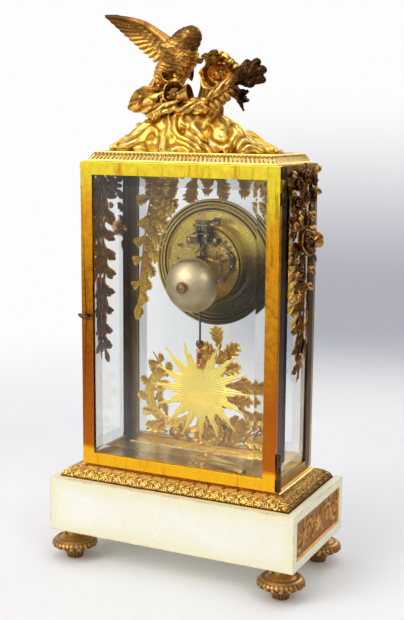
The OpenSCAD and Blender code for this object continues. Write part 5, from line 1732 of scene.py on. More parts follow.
@dataclass
class SideGarlands:
    """Garlands of roses, buds and leaves, one down each side glass."""

    stem: tuple[Triple, ...] = (
        (0, 414, 3), (3, 392, 4), (-1, 372, 3.5), (5, 346, 4), (2, 326, 3), (-2, 308, 4),
        (1, 288, 3), (1, 266, 3.5), (1, 246, 3), (2, 226, 2.5), (0, 208, 2))
    outer_x: float = 108.9

    def model(self) -> Casting:
        """Models the garland on its own ground: X along the case, Z out of it, Y up."""
        casting = Casting("side_garland")
        grow = Flowers(casting, 11)
        out = np.array(UP, float)
        line = spline(self.stem, 70)
        casting.tube(line, np.linspace(1.9, 1.0, len(line)), 10, up=UP, cavity=0.4)
        for phase, reach in ((0.0, 5.5), (2.1, 7.0)):
            wind = line.copy()
            wind[:, 0] += reach * np.sin(phase + np.linspace(0, 9, 70)) * np.linspace(1, 0.4, 70)
            wind[:, 2] = 4.2 + 2.2 * np.cos(phase + np.linspace(0, 9, 70))
            casting.tube(wind[:62], np.linspace(1.3, 0.7, 62), 8, up=UP, cavity=0.5)
        for (x, y), way, r, opened in (
                ((0, 406), (0, 0.05), 10.5, 0.8), ((-20, 403), (-0.5, 0.3), 10, 0.8),
                ((19, 400), (0.5, 0.2), 9.5, 0.8), ((-22, 386), (-0.5, 0.1), 8.5, 0.6),
                ((20, 383), (0.5, 0.0), 9.5, 0.7), ((-2, 388), (-0.1, -0.2), 8, 0.5),
                ((2, 342), (0.1, 0.2), 17, 1.0), ((9, 311), (0.4, 0.0), 9.5, 0.7),
                ((-3, 366), (-0.2, -0.2), 8, 0.4)):
            grow.rose((x, y, 2), (*way, 1), r, opened)
        grow.trumpet((-12, 336, 3), (-0.95, 0.32, 0.02), 23, 9)
        for spot, way in (
                ((-14, 372), (-0.8, -0.5, 0.5)), ((24, 366), (0.6, -0.7, 0.4)),
                ((13, 372), (0.5, -0.8, 0.5)), ((-18, 358), (-0.6, -0.7, 0.4)),
                ((19, 330), (0.9, -0.3, 0.4)), ((-17, 318), (-0.6, -0.7, 0.5)),
                ((17, 318), (0.6, -0.8, 0.4)), ((-12, 302), (-0.7, -0.6, 0.4)),
                ((12, 296), (0.6, -0.7, 0.4)), ((27, 394), (0.9, -0.2, 0.3)),
                ((-31, 393), (-0.9, -0.3, 0.3)), ((28, 408), (0.8, 0.4, 0.3)),
                ((-29, 411), (-0.8, 0.4, 0.3))):
            grow.bud((*spot, 3.5), way, 12)
        for k, (x, y, z) in enumerate(self.stem[:-1]):
            nxt = self.stem[k + 1]
            angle = math.atan2(nxt[1] - y, nxt[0] - x)
            size = 1.05 - 0.055 * k
            for side in (-1, 1):
                for lean, scale in ((40, 1.0), (74, 0.85), (20, 0.7)):
                    turn = angle + side * math.radians(lean + 8 * (k % 2))
                    root = (
                        x + 2 * math.cos(turn), y + 2 * math.sin(turn) - 7 * (lean > 60)
                        + 8 * (lean < 30), z + 2 * (lean < 30))
                    grow.leaf(
                        BLADE.rose_leaf, root, (math.cos(turn), math.sin(turn), 0.28), out,
                        27 * size * scale, 14 * size * scale, -0.9)
        for y in (410, 398, 386, 372, 358, 344, 330):
            for way in ((0.85, -0.5, 0.3), (0.5, -0.85, 0.4), (-0.7, -0.7, 0.35)):
                grow.leaf(
                    BLADE.rose_leaf, (22 * np.sign(way[0]) - 0.15 * (410 - y), y, 2.5),
                    way, out, 15, 10, -0.8)
        for k in range(9):
            drop = 0.5 + 0.06 * k
            grow.leaf(
                BLADE.laurel, (3.2 * math.sin(2.3 * k), 290 - 5.2 * k, 3 + 2.4 * (k % 3)),
                (0.35 * math.sin(2.3 * k), -1, 0.22), out, 24 - drop, 8.5, -0.7)
        for spot, way, long in (
                ((0, 218), (-0.1, -1, 0.1), 17), ((2, 226), (0.6, -0.8, 0.2), 16),
                ((-1, 228), (-0.6, -0.8, 0.2), 16), ((1, 238), (0.5, -0.85, 0.3), 15),
                ((0, 244), (-0.5, -0.85, 0.3), 15)):
            grow.leaf(BLADE.laurel, (*spot, 2.5), way, out, long, 8, -0.5)
        return casting

    def build(self) -> None:
        """Hangs one garland on each side of the case."""
        model = self.model()
        for side in Side:
            s = side.value
            turned = model.moved(
                np.array([[0, 1, 0], [0, 0, 1], [s, 0, 0]], float), (s * self.outer_x, 0, 0))
            turned.name = "rose_garland_" + side.name.lower()
            turned.make(FINISH.garland, replaces=("side_garland_" + side.name.lower(),), sharp=70)


@dataclass
class FrontOrnament:
    """Gilt leaf garland and trophy just behind the front glass."""

    ground_y: float = -41.2

    def flat(self, *points: Pair) -> list[Triple]:
        """Points given as X and Z, laid on the ornament's ground."""
        return [(x, self.ground_y - 1.2, z) for x, z in points]

    def lay(
            self, grow: Flowers, x: float, z: float, bearing: float, length: float, width: float,
            side: int = 1, cut: Blade | None = None) -> None:
        """Lays one leaf flat on the ground.

        Args:
            grow: makes the leaf.
            x: root, right of the middle.
            z: root's height.
            bearing: direction in degrees, 0 along X and 90 upward.
            length: root to tip.
            width: across it.
            side: -1 mirrors it to the other half.
            cut: kind of leaf, oak unless given.
        """
        turn = math.radians(bearing)
        grow.leaf(
            cut or BLADE.oak, (side * x, self.ground_y - 1.1, z),
            (side * math.cos(turn), -0.02, math.sin(turn)), FRONT, length, 1.12 * width, -0.22)

    def garland(self) -> None:
        """Leafy branches along the top and falls of leaves down both sides of the dial."""
        casting = Casting("front_leaf_garland")
        grow = Flowers(casting, 23)
        for s in (-1, 1):
            grow.spray(
                self.flat((0, 397), (s * 24, 397), (s * 46, 395), (s * 66, 391)),
                BLADE.oak, 22, 18, 1.5, 0.02, 0)
            grow.spray(
                self.flat((s * 66, 391), (s * 76, 379), (s * 81, 358), (s * 84, 336), (s * 87, 312),
                (s * 90, 286), (s * 91.5, 264)), BLADE.oak, 17, 14, 1.5, 0.02, 0.3)
            for bearing in (52, 104, 168, 207, 236):
                self.lay(
                    grow, 73, 384, bearing,
                    24 + 9 * abs(math.sin(math.radians(bearing + 60))), 17, s)
            for i in range(8):
                self.lay(
                    grow, 78 + 1.9 * i, 374 - 16 * i, 195 + 8 * i, 33 - 2.8 * i, 20 - 1.6 * i, s)
                self.lay(
                    grow, 80 + 1.7 * i, 368 - 16 * i, 222 + 6 * i, 22 - 1.6 * i,
                    13 - i, s, BLADE.acanthus)
            self.lay(grow, 91.5, 264, 275, 22, 8, s, BLADE.laurel)
            for x, z, r in ((76, 383, 11), (81, 350, 8), (24, 398, 6), (52, 396, 6)):
                grow.daisy((s * x, self.ground_y - 1.5, z), FRONT, r)
            casting.block(
                (s * 40 - 2, self.ground_y - 1.6, 392), (s * 40 + 2, self.ground_y + 0.2, 415))
        casting.make(FINISH.front_leaf, replaces=("front_garland",), sharp=70)

    def strap(
            self, casting: Casting, x: float, z: float, r: float, start: float,
            end: float, wide: float) -> None:
        """A flat strap bent to part of a circle, with raised edges and a beaded middle."""
        turn = np.radians(np.linspace(start, end, 48))
        for reach, half, flat in (
                (r - wide / 2, wide / 2, 0.2), (r - 0.6, 0.9, 1.2), (r - wide + 0.6, 0.9, 1.2)):
            line = np.stack(
                [x + reach * np.cos(turn), np.full(48, self.ground_y - 1.2),
                z + reach * np.sin(turn)], 1)
            casting.tube(line, half, 10, flat, FRONT, 0.7)
        for a in turn[2:-2:3]:
            casting.ball(
                (x + (r - wide / 2) * math.cos(a), self.ground_y - 1.9,
                z + (r - wide / 2) * math.sin(a)), 0.22 * wide, cavity=0.9, sides=8)

    def trophy(self) -> None:
        """Straps and leaf sprays that stand on the floor of the case."""
        casting = Casting("front_leaf_trophy")
        grow = Flowers(casting, 29)
        casting.block((-66, self.ground_y - 2.1, 108.4), (78, self.ground_y, 113.2))
        self.strap(casting, 49, 162, 35, -128, 62, 11)
        self.strap(casting, 34, 148, 26, 100, 255, 7)
        self.strap(casting, -40, 152, 32, 98, 262, 9)
        for bearing in range(-72, 41, 28):
            a = math.radians(bearing)
            self.lay(grow, 49 + 30 * math.cos(a), 162 + 30 * math.sin(a), bearing + 48, 16, 10)
            self.lay(grow, 49 + 24 * math.cos(a), 162 + 24 * math.sin(a), bearing + 150, 15, 9)
        grow.spray(self.flat((57, 184), (66, 198), (74, 209)), BLADE.oak, 17, 12, 1.4, 0.02, 0.2)
        grow.spray(
            self.flat((0, 112), (1, 134), (0, 158), (-3, 182), (-6, 204), (-6, 222)), BLADE.oak,
            29, 18, 1.7, 0.02, 0.3)
        grow.spray(self.flat((-34, 122), (-46, 136), (-62, 142)), BLADE.oak, 26, 15, 1.4, 0.02, 0.2)
        for leaf in (
                (-6, 220, 82, 25, 16), (-7, 205, 47, 29, 15), (-7, 204, 131, 32, 16),
                (-4, 194, 162, 29, 15), (-3, 194, 36, 25, 14), (-10, 181, 176, 50, 15),
                (-25, 182, 150, 18, 9), (-27, 182, 203, 18, 9), (-12, 166, 179, 36, 14),
                (-28, 160, 214, 36, 13), (56, 121, 14, 27, 14), (29, 114, 62, 23, 13),
                (70, 114, 121, 19, 11), (-50, 120, 168, 28, 14)):
            self.lay(grow, *leaf)
        for k in range(5):
            self.lay(grow, -20 + 4 * k, 112, 124 - 17 * k, 41 - k, 15, 1, BLADE.acanthus)
        for x in (46, -44):
            grow.daisy((x, self.ground_y - 1.5, 121), FRONT, 11)
        casting.make(FINISH.front_leaf, replaces=("front_trophy",), sharp=70)

    def build(self) -> None:
        """Builds both parts."""
        self.garland()
        self.trophy()


# Movement and dial.


@dataclass
class Movement:
    """Open round movement with its bell, pendulum and motion work."""

    dial_z: float = 313.0
    plate_back: float = -15.0
    steel_nodes: tuple[tuple[str, float], ...] = (
        ("going_winding_arbor", 0.0), ("strike_winding_arbor", 0.0), ("anchor_crutch", 0.0),
        ("regulator_arbor", 0.1), ("pendulum_rod", 0.0), ("bell_stand", 0.1), ("hammer", 0.1))
    brass_nodes: tuple[str, ...] = (
        "front_plate", "back_plate", "going_barrel", "intermediate_wheel", "centre_wheel",
        "third_wheel", "escape_wheel", "strike_barrel", "count_wheel",
        "minute_wheel", "winding_key")

    def screw(
            self, casting: Casting, x: float, z: float, r: float, slot: float,
            y: float | None = None) -> None:
        """A domed screw head with a filed slot, on the back plate unless y says otherwise."""
        at = self.plate_back if y is None else y
        height = 0.55 * r
        casting.spun(
            [[0.01, 0], [r, 0], [r, 0.5 * height], [0.86 * r, 0.85 * height], [0.4 * r, height],
            [0.01, height]], (x, at, z), REAR, 24)
        c, s = math.cos(slot), math.sin(slot)
        turn = np.array([[c, 0, s], [0, 1, 0], [-s, 0, c]])
        casting.block(
            (-0.8 * r, 0, -0.13 * r), (0.8 * r, 0.08 * r, 0.13 * r), turn,
            (x, at + height - 0.02, z))

    def dressing(self) -> None:
        """Adds screws, levers, studs and wire springs on the back plate."""
        casting = Casting("back_plate_screws")
        zc, ring, face = self.dial_z, 34.5, self.plate_back + 1.3
        for angle in (355, 35, 145, 185, 270):
            a = math.radians(angle)
            self.screw(casting, -ring * math.cos(a), zc + ring * math.sin(a), 2.0, a, face)
        for x, z, r in (
                (15.5, 339.4, 2.4), (27, 332.8, 2.2), (-24, 338, 1.8), (21, 304, 1.7),
                (-33, 300, 1.6), (30, 318, 1.6), (-9, 292, 1.7)):
            self.screw(casting, x, z, r, 0.7 * x)
        casting.make(FINISH.steel)
        levers = Casting("strike_levers")
        y = self.plate_back + 2.6
        for path, wide in (
                (((-29, y, 327.4), (-25, y, 333), (-18, y, 336), (-12, y, 334)), 1.2),
                (((-32.6, y, 312.2), (-34, y, 318), (-33, y, 324), (-29, y, 327.4)), 1.4),
                (((-32.6, y, 312.2), (-30, y, 305), (-25, y, 300)), 1.1),
                (((-29, y, 327.4), (-22, y + 0.4, 325.6), (-16, y + 0.4, 322)), 0.9)):
            levers.tube(spline(path, 24), np.linspace(wide, 0.7 * wide, 24), 8, 0.6, REAR, 0.7)
        for x, z, r in ((-29, 327.4, 2.4), (-32.6, 312.2, 2.7), (-25, 300, 1.6), (-12, 334, 1.5)):
            levers.spun(
                [[0.01, 0], [r, 0], [r, 3.2], [0.8 * r, 3.9], [0.01, 4.0]],
                (x, self.plate_back, z), REAR, 28)
        levers.make(FINISH.steel)
        springs = Casting("wire_springs")
        turn = np.radians(np.linspace(62, 118, 30))
        arc = [
            (35.6 * math.cos(t), self.plate_back + 0.9, zc - 1 + 35.2 * math.sin(t)) for t in turn]
        springs.tube(arc, 0.35, 7)
        springs.tube(
            spline([(27, self.plate_back + 0.9, 332.8), (22, self.plate_back + 0.9, 329),
            (12, self.plate_back + 0.9, 328.5)], 16), 0.4, 7)
        ring = [
            (4.6 + 4.6 * math.cos(t), self.plate_back + 1.0, 323.2 + 4.6 * math.sin(t))
            for t in np.linspace(0.4, 6.0, 40)]
        springs.tube(ring, 0.55, 8)
        springs.make(FINISH.steel)

    def rings(self) -> None:
        """Turns the mouldings that run round the back of the bezel and of the pan."""
        casting = Casting("bezel_back_rings")
        for ground, line in (
                (-38.45, [[66.4, 0.0], [66.3, 1.0], [65.3, 1.7], [64.5, 1.0], [64.2, 0.2],
                [62.9, 0.2], [62.6, 1.4], [61.8, 2.0], [61.0, 1.3], [60.7, 0.1], [60.3, 0.1]]),
                (-37.5, [[59.3, 0.1], [58.9, 1.0], [58.0, 1.5], [57.2, 0.9], [56.8, 0.2],
                [55.2, 0.2], [54.8, 0.8], [54.2, 1.0], [53.6, 0.7], [53.2, 0.1]])):
            rows = spline(line, 60)

            def shade(turn: Array, share: Array, rows: Array = rows) -> Relief:
                """Dark in the grooves, bright on the rounds."""
                flat = 0 * turn + 0 * share
                return flat, np.clip(-0.02 + 0.74 * rows[:, 1, None] + flat, 0, 1)

            casting.spun(rows, (0, ground, self.dial_z), REAR, 180, shade)
        casting.make(FINISH.ring)

    def nut(self) -> None:
        """Turns the nut that holds the bell."""
        casting = Casting("bell_nut")
        line = [
            [5.5, 0], [5.9, 0.8], [5.9, 2.6], [5.4, 3.85], [4.4, 3.9], [4.2, 4.5], [3.4, 4.6],
            [3.1, 3.95], [2.2, 3.95], [2.0, 4.3], [0.01, 4.4]]

        def shade(turn: Array, share: Array) -> Relief:
            """A worn knurl, dark between its rings."""
            knurl = 0.5 + 0.5 * np.cos(28 * turn)
            return -0.15 * knurl * (share < 0.3), 0.2 + 0.5 * np.abs(np.sin(9.0 * share)) + 0 * turn

        casting.spun(spline(line, 44), (0, 33.9, 295.4), REAR, 56, shade)
        casting.make(FINISH.foot)

    def cock(self) -> None:
        """Builds the suspension cock: two cheeks, a head and pins, on a bridge with two screws."""
        casting, z = Casting("suspension_cheeks"), self.dial_z
        casting.block((-17.5, -11.2, z + 21.4), (17.5, -9.4, z + 29))
        for x in (-17.5, 11.5):
            casting.block((x, -15.0, z + 23), (x + 6, -11.2, z + 29))
        for x in (-8.5, 2.4):
            casting.block((x, -11.2, z + 24), (x + 3.0, -3.4, z + 44.2))
        casting.block((-5.6, -11.2, z + 29), (2.5, -10.2, z + 40))
        casting.block((-8.2, -10.6, z + 44.2), (5.2, -3.8, z + 46.9))
        casting.block((-5.5, -8.4, z + 36.4), (-1.1, -4.6, z + 43.0))
        casting.block((-0.1, -8.4, z + 36.4), (2.4, -4.6, z + 43.0))
        for at, r in (((-1.5, -4.2, z + 33.0), 0.8), ((-1.5, -4.0, z + 41.6), 0.7)):
            casting.tube([[at[0] - 8.4, at[1], at[2]], [at[0] + 8.4, at[1], at[2]]], r, 10, up=REAR)
            for end in (-8.4, 8.4):
                casting.ball((at[0] + end, at[1], at[2]), 1.5, (0.6, 1, 1), 0.8)
        casting.tube(
            [[-6, -4.4, z + 45.2], [-12, -4.2, z + 45.6], [-19.5, -4.2, z + 45.2]],
            [1.1, 0.9, 1.0], 10, up=REAR)
        casting.ball((-20.8, -4.2, z + 45.2), 2.6, (0.8, 1, 1), 0.8)
        casting.make(FINISH.steel, replaces=("back_cock",), sharp=35)
        heads = Casting("cock_screws")
        for x, h, r in ((-14.5, 26, 2.0), (14.5, 26, 2.0), (-7.0, 31, 1.3), (3.9, 31, 1.3)):
            self.screw(heads, x, z + h, r, 0.6 * x, -9.4 if r > 1.5 else -3.4)
        heads.make(FINISH.brass)

    def bell(self) -> None:
        """Spins the bell in one smooth sweep."""
        low, high = box_mm("bell")
        radius, rim = (high[0] - low[0]) / 2, low[1]
        deep = high[1] - low[1]
        a = np.linspace(0, math.pi / 2 - 0.08, 44)
        outer = [[radius * math.cos(t), deep * math.sin(t)] for t in a]
        inner = [[(radius - 1.7) * math.cos(t), (deep - 1.7) * math.sin(t)] for t in a[::-1]]
        lip = [[radius - 0.5, 0.0], [radius - 0.1, 0.1]]
        casting, sides = Casting("bell_bowl"), 128
        profile = np.array(inner + lip + outer)
        turn = circle(sides)
        z = (low[2] + high[2]) / 2
        grid = np.stack(
            [profile[:, 0, None] * np.cos(turn), rim + np.broadcast_to(profile[:, 1, None],
            (len(profile), sides)), z + profile[:, 0, None] * np.sin(turn)], -1)
        casting.loop(grid, 0.5, True)
        casting.make(FINISH.bell, replaces=("bell",))

    def sunburst(self) -> None:
        """Presses the sunburst: dished disc, stepped rays and its stirrup."""
        casting = Casting("pressed_sunburst")
        z, y = 182.0, -8.0

        def ripple(angle: Array, share: Array) -> Relief:
            """Beaten ripples that run out towards the rays."""
            wave = 0.25 * np.cos(16 * angle + 0.6) * share
            return wave, 0.6 + 0 * wave

        front = [[r, -2.2 - 3.3 * (1 - (r / 26.0) ** 2)] for r in (0.01, 5, 9, 13, 17, 20, 23, 26)]
        front += [
            [26.2, -1.8], [25, -1.2], [20, -1.0], [14, -1.6], [8, -2.3], [4, -2.6], [0.01, -2.7]]
        casting.spun(front, (0, y, z), REAR, 160, ripple)
        chance = np.random.default_rng(5)
        for k in range(16):
            long = 44.0 if k == 0 else (60.0 if k % 2 == 0 else 56.5) * chance.uniform(0.97, 1.0)
            a = math.radians(22.5 * k)
            self.ray(casting, (0, y, z), a, long, chance)
        casting.make(FINISH.sun, "pendulum", ("sunburst_bob",), 40)
        stirrup = Casting("sunburst_stirrup")
        for s in (-1, 1):
            stirrup.tube(
                spline([(s * 2.5, -7, 205.6), (s * 2.7, -7, 214), (s * 2.6, -6.8, 222),
                (s * 1.2, -6.5, 226.6)], 24), 1.25, 10, 1.0, REAR, 0.6)
        stirrup.spun(
            [[1.2, 0], [3.4, 0], [3.8, 0.8], [3.8, 2.6], [3.2, 3.4], [1.2, 3.4]],
            (0, -6.5, 222.4), UP, 32)
        stirrup.spun(
            [[0.01, 0], [2.6, 0], [3.0, 0.8], [3.0, 3.6], [2.6, 4.4], [0.01, 4.4]],
            (0, -6.5, 205.8), UP, 32)
        stirrup.make(FINISH.red_gold, "pendulum")

    @staticmethod
    def ray(
            casting: Casting, centre: Triple, angle: float, long: float,
            chance: np.random.Generator) -> None:
        """One ray of the sunburst: a bundle of blunt strips that end one after another."""
        s, c = math.sin(angle), math.cos(angle)
        for offset, share, half in (
                (0.0, 1.0, 1.3), (-2.3, 0.70, 1.3), (2.3, 0.82, 1.3),
                (-4.4, 0.52, 1.3), (4.4, 0.60, 1.3)):
            reach, root = share * long * chance.uniform(0.94, 1.0), chance.uniform(12.0, 19.0)
            t = np.array([0.0, 0.14, 0.5, 0.86, 0.96, 1.0])
            wide = half * np.array([0.6, 1.15, 1.05, 0.85, 0.75, 0.45])
            sink = np.array([1.4, 0.3, 0.0, 0.0, 0.0, 0.0])
            across = np.linspace(-1, 1, 5)
            x = offset + wide[:, None] * across[None]
            r = np.broadcast_to((root + (reach - root) * t)[:, None], x.shape)
            lift = 1.2 - 0.7 * (1 - across**2)[None] + 0.10 * abs(offset) + sink[:, None] + 0 * x
            grid = np.stack(
                [centre[0] + r * s + x * c, centre[1] - lift, centre[2] + r * c - x * s], -1)
            casting.shell(grid, -1.3, 0.7)

    def build(self) -> None:
        """Finishes the movement and dresses it."""
        for node in self.brass_nodes:
            keep(
                node, FINISH.brass,
                0.08 if node in ("front_plate", "back_plate", "winding_key") else 0.0)
        for node, ease in self.steel_nodes:
            keep(node, FINISH.steel, ease)
        keep("drum", FINISH.drum)
        keep("dial_bezel", FINISH.ring)
        self.rings()
        self.nut()
        self.cock()
        self.dressing()
        self.bell()
        self.sunburst()


@dataclass
class Dial:
    """Enamel dial with painted hour figures, minute track and pierced hands."""

    centre: Pair = (0.0, 313.0)
    front_y: float = -42.0
    hour_ring: float = 45.5
    figure: float = 10.5
    numerals: tuple[str, ...] = (
        "XII", "I", "II", "III", "IIII", "V", "VI", "VII", "VIII", "IX", "X", "XI")

    def stroke(
            self, casting: Casting, hour_angle: float, start: Pair,
            end: Pair, width: float) -> None:
        """One painted stroke given in the figure's own frame, right and outward."""
        a = math.radians(hour_angle)
        right = np.array([math.cos(a), 0, -math.sin(a)])
        out = np.array([math.sin(a), 0, math.cos(a)])
        centre = np.array([self.centre[0], self.front_y, self.centre[1]])
        p, q = (centre + right * v[0] + out * (self.hour_ring + v[1]) for v in (start, end))
        way = unit(q - p)
        side = np.cross(way, (0, 1, 0)) * width / 2
        corners = [p - side, p + side, q + side, q - side]
        raised = [c + np.array([0, -0.12, 0]) for c in corners]
        casting.add(
            np.array(corners + raised), [[3, 2, 1, 0], [4, 5, 6, 7], [0, 1, 5, 4], [1, 2, 6, 5],
            [2, 3, 7, 6], [3, 0, 4, 7]], 0.5)

    def numeral(self, casting: Casting, hour_angle: float, text: str) -> None:
        """Paints one hour figure, its foot towards the centre."""
        wide = {"I": 2.6, "V": 5.4, "X": 5.6}
        total = sum(wide[c] for c in text)
        x, h = -total / 2, self.figure / 2
        for letter in text:
            w = wide[letter]
            middle = x + w / 2
            if letter == "I":
                self.stroke(casting, hour_angle, (middle, -h), (middle, h), 1.3)
            else:
                top = (middle + w / 2 - 0.8, h)
                low = (middle, -h) if letter == "V" else (middle - w / 2 + 0.8, -h)
                self.stroke(
                    casting, hour_angle, (middle - w / 2 + 0.8, h),
                    (middle, -h) if letter == "V" else (middle + w / 2 - 0.8, -h), 1.4)
                self.stroke(casting, hour_angle, top, low, 0.6)
            for end in (-h, h):
                if letter != "V" or end > 0:
                    self.stroke(casting, hour_angle, (x + 0.3, end), (x + w - 0.3, end), 0.4)
            x += w

    def build(self) -> None:
        """Paints the dial and finishes the hands."""
        keep("dial", FINISH.enamel)
        casting = Casting("dial_figures")
        for hour, text in enumerate(self.numerals):
            self.numeral(casting, 30 * hour, text)
        for minute in range(60):
            long = 1.6 if minute % 5 else 2.4
            self.stroke(casting, 6 * minute, (0, 7.4), (0, 7.4 + long), 0.35 if minute % 5 else 0.9)
        casting.make(FINISH.ink)
        for reach in (7.2, 10.0):
            ring = Casting(f"minute_track_{int(reach)}")
            r = self.hour_ring + reach
            ring.spun([[r - 0.12, 0], [r + 0.12, 0], [r + 0.12, 0.1], [r - 0.12, 0.1]],
                      (self.centre[0], self.front_y, self.centre[1]), FRONT, 160)
            ring.make(FINISH.ink)
        keep("hour_hand", FINISH.steel)
        keep("minute_hand", FINISH.steel)


# Finial.


@dataclass
class Finial:
    """Dove, flower basket and torch on swirling rockwork."""

    base_z: float = 428.7
    top_z: float = 564.2
    rock_x: Pair = (-100, 102)
    rock_y: Pair = (-38, 38)

    def limb(self, casting: Casting, points: object, sides: int = 16) -> None:
        """A rounded limb through rows of x, y, z and radius."""
        rows = spline(points, 8 * len(points))
        casting.tube(
            rows[:, :3] + [0, 0, self.base_z], np.maximum(rows[:, 3], 0.5),
            sides, up=(0.2, 0.3, 0.9))

    def melted(
            self, name: str, limbs: object, voxel: float, smoothing: int,
            relief: Shaper) -> Casting:
        """Melts limbs together and works a relief into their skin.

        Args:
            name: name of the casting.
            limbs: rows of x, y, z and radius for each limb.
            voxel: finest detail of the melt.
            smoothing: rounds of smoothing.
            relief: function of points and normals giving height and cavity.

        Returns:
            The casting.
        """
        rough = Casting(name + "_rough")
        for points in limbs:
            self.limb(rough, points)
        skin, faces, normal = fused(rough, voxel, smoothing)
        lift, cavity = relief(skin - [0, 0, self.base_z], normal)
        casting = Casting(name)
        casting.add(skin + normal * lift[:, None], faces, cavity)
        return casting

    def rock(self) -> None:
        """Rockwork: broad folds that gather under the flowers and run out to the edges."""
        rear = [
            [[98, 6, 1, 3], [86, 13, 3, 5], [72, 17, 4, 7], [58, 19, 6, 9]],
            [[72, 21, 2, 7], [60, 20, 10, 9], [50, 15, 21, 10], [30, 10, 28, 10]],
            [[50, 27, 1, 9], [42, 24, 11, 11], [30, 18, 22, 11], [12, 12, 30, 10]],
            [[22, 29, 1, 9], [20, 27, 11, 10], [12, 21, 23, 10], [2, 14, 30, 9]],
            [[-4, 29, 1, 9], [-6, 27, 11, 10], [-10, 21, 23, 10], [-8, 12, 31, 9]],
            [[-30, 27, 1, 9], [-32, 24, 9, 11], [-32, 17, 21, 11], [-22, 8, 30, 9]],
            [[-60, 21, 1, 7], [-54, 18, 6, 9], [-43, 13, 17, 11], [-34, 8, 24, 10]],
            [[-92, 6, 1, 3], [-78, 11, 2, 5], [-64, 13, 4, 8]]]
        front = [
            [[92, -10, 1, 4], [74, -15, 4, 7], [58, -14, 12, 10], [44, -8, 24, 10]],
            [[34, -23, 5, 10], [28, -18, 18, 12], [14, -8, 28, 10]],
            [[-2, -25, 5, 10], [-4, -18, 19, 12], [-10, -6, 29, 9]],
            [[-38, -21, 5, 10], [-32, -14, 18, 11], [-22, -4, 28, 9]],
            [[-82, -8, 1, 4], [-66, -12, 4, 7], [-48, -12, 12, 10]]]
        swirls = [
            [[84, 9, 8, 3], [66, 18, 17, 3.6], [46, 25, 21, 3.6], [33, 32, 9, 3.2]],
            [[60, 14, 25, 3.4], [40, 25, 25, 4], [24, 33, 14, 4], [10, 35, 1, 3.4]],
            [[28, 16, 36, 3.4], [14, 28, 25, 4], [2, 34, 12, 4], [-8, 35, 1, 3.4]],
            [[4, 17, 38, 3.4], [-6, 28, 26, 4], [-18, 33, 14, 4], [-16, 35, 1, 3.4]],
            [[-16, 14, 37, 3.4], [-26, 25, 26, 4], [-42, 29, 14, 4], [-44, 31, 1, 3.4]],
            [[-34, 12, 29, 3.4], [-48, 21, 20, 4], [-63, 22, 9, 3.6], [-76, 19, 1, 3]],
            [[58, -12, 20, 3.6], [44, -22, 17, 4], [52, -28, 2, 3.6]],
            [[24, -14, 34, 3.6], [10, -26, 21, 4], [16, -33, 2, 3.6]],
            [[-16, -12, 32, 3.6], [-22, -25, 19, 4], [-14, -32, 2, 3.6]]]
        apron = [
            [[s * -62 + 6, y, 0, 9], [s * -36 + 6, 1.35 * y, 2, 14], [s * -12 + 6, 1.6 * y, 3, 17],
            [6, 1.6 * y, 3, 17]] for s in (-1, 1) for y in (12.0, -10.5)]
        core = apron + [
            [[52, 0, 6, 15], [20, 2, 14, 20], [-14, 2, 14, 20], [-46, 0, 6, 14]],
            [[-70, 0, 2, 7], [0, 0, 3, 24], [80, 0, 2, 7]]]

        def folds(p: Array, normal: Array) -> Relief:
            """Soft folds that gather at the top, sway and run out to the foot."""
            turn = np.arctan2(p[:, 1] * 1.7, p[:, 0] - 2)
            drift = 19 * value_noise(p, 36, 7) + 7 * value_noise(p, 17, 8)
            phase = (22 * turn + 0.35 * p[:, 2] + drift) / 7.8
            broad = np.abs(np.sin(np.pi * phase)) ** 0.75
            fine = np.abs(np.sin(2 * np.pi * phase + 0.7 + 0.5 * value_noise(p, 9, 92))) ** 0.8
            lift = 2.6 * (broad - 0.6) + 0.8 * (fine - 0.6) + 1.8 * value_noise(p, 14, 91)
            lift *= step(p[:, 2], 0.5, 4.0)
            return lift, np.clip(-0.16 + 0.72 * broad + 0.36 * fine, 0, 1)

        casting = self.melted("rockwork_folds", rear + front + swirls + core, 1.0, 12, folds)
        for block in casting.points:
            block[:, 2] = np.maximum(block[:, 2], self.base_z)
            block[:, 0] = np.clip(block[:, 0], *self.rock_x)
            block[:, 1] = np.clip(block[:, 1], *self.rock_y)
        casting.make(FINISH.rock, replaces=("finial_rock",), sharp=80)

    def bird(self) -> None:
        """Dove: a melted body scaled with small feathers, long ones on the far wing and tail."""
        limbs = [
            [[18, 2, 79, 9], [16, 2, 92, 15], [14, 2, 103, 12.5], [8, 2, 114, 9.6]],
            [[8, 2, 114, 9.6], [3, 4, 111, 7.6], [0.5, 5, 105, 3.6]],
            [[20, 2, 102, 12], [35, 3, 104, 8]],
            [[27, 2, 102, 9], [21, 2, 111, 7.5], [13, 2, 114.5, 8]],
            [[22, 3, 92, 13], [36, 4, 80, 10.5], [42, 4, 66, 8]],
            [[18, 2, 80, 8], [23, 2, 70, 7.5], [30, 2, 56, 9]]]

        def plumage(p: Array, normal: Array) -> Relief:
            """Small overlapping feathers, smoother on the head."""
            warp = value_noise(p, 9, 13)
            row_at = (124 - p[:, 2] + 0.25 * p[:, 0] + 1.4 * warp) / 4.6
            turn = np.arctan2(p[:, 1] - 2, p[:, 0] - 16) * 6.5 + 0.8 * warp
            row = np.floor(row_at)
            cross = np.abs(np.sin((turn + np.where(row % 2 == 0, 0.0, np.pi)) / 2))
            cell = (row_at - row) - 0.5 * cross
            feather = np.where(cell < 0, 1 + cell, cell)
            grit = value_noise(p, 1.5, 12) + 0.6 * value_noise(p, 4, 14)
            size = 0.5 + 0.5 * step(118 - p[:, 2], 0, 14)
            lift = size * 0.75 * (feather - 0.5) + 0.25 * grit
            return lift, np.clip(0.24 + 0.55 * feather * size + 0.18 * grit, 0, 1)

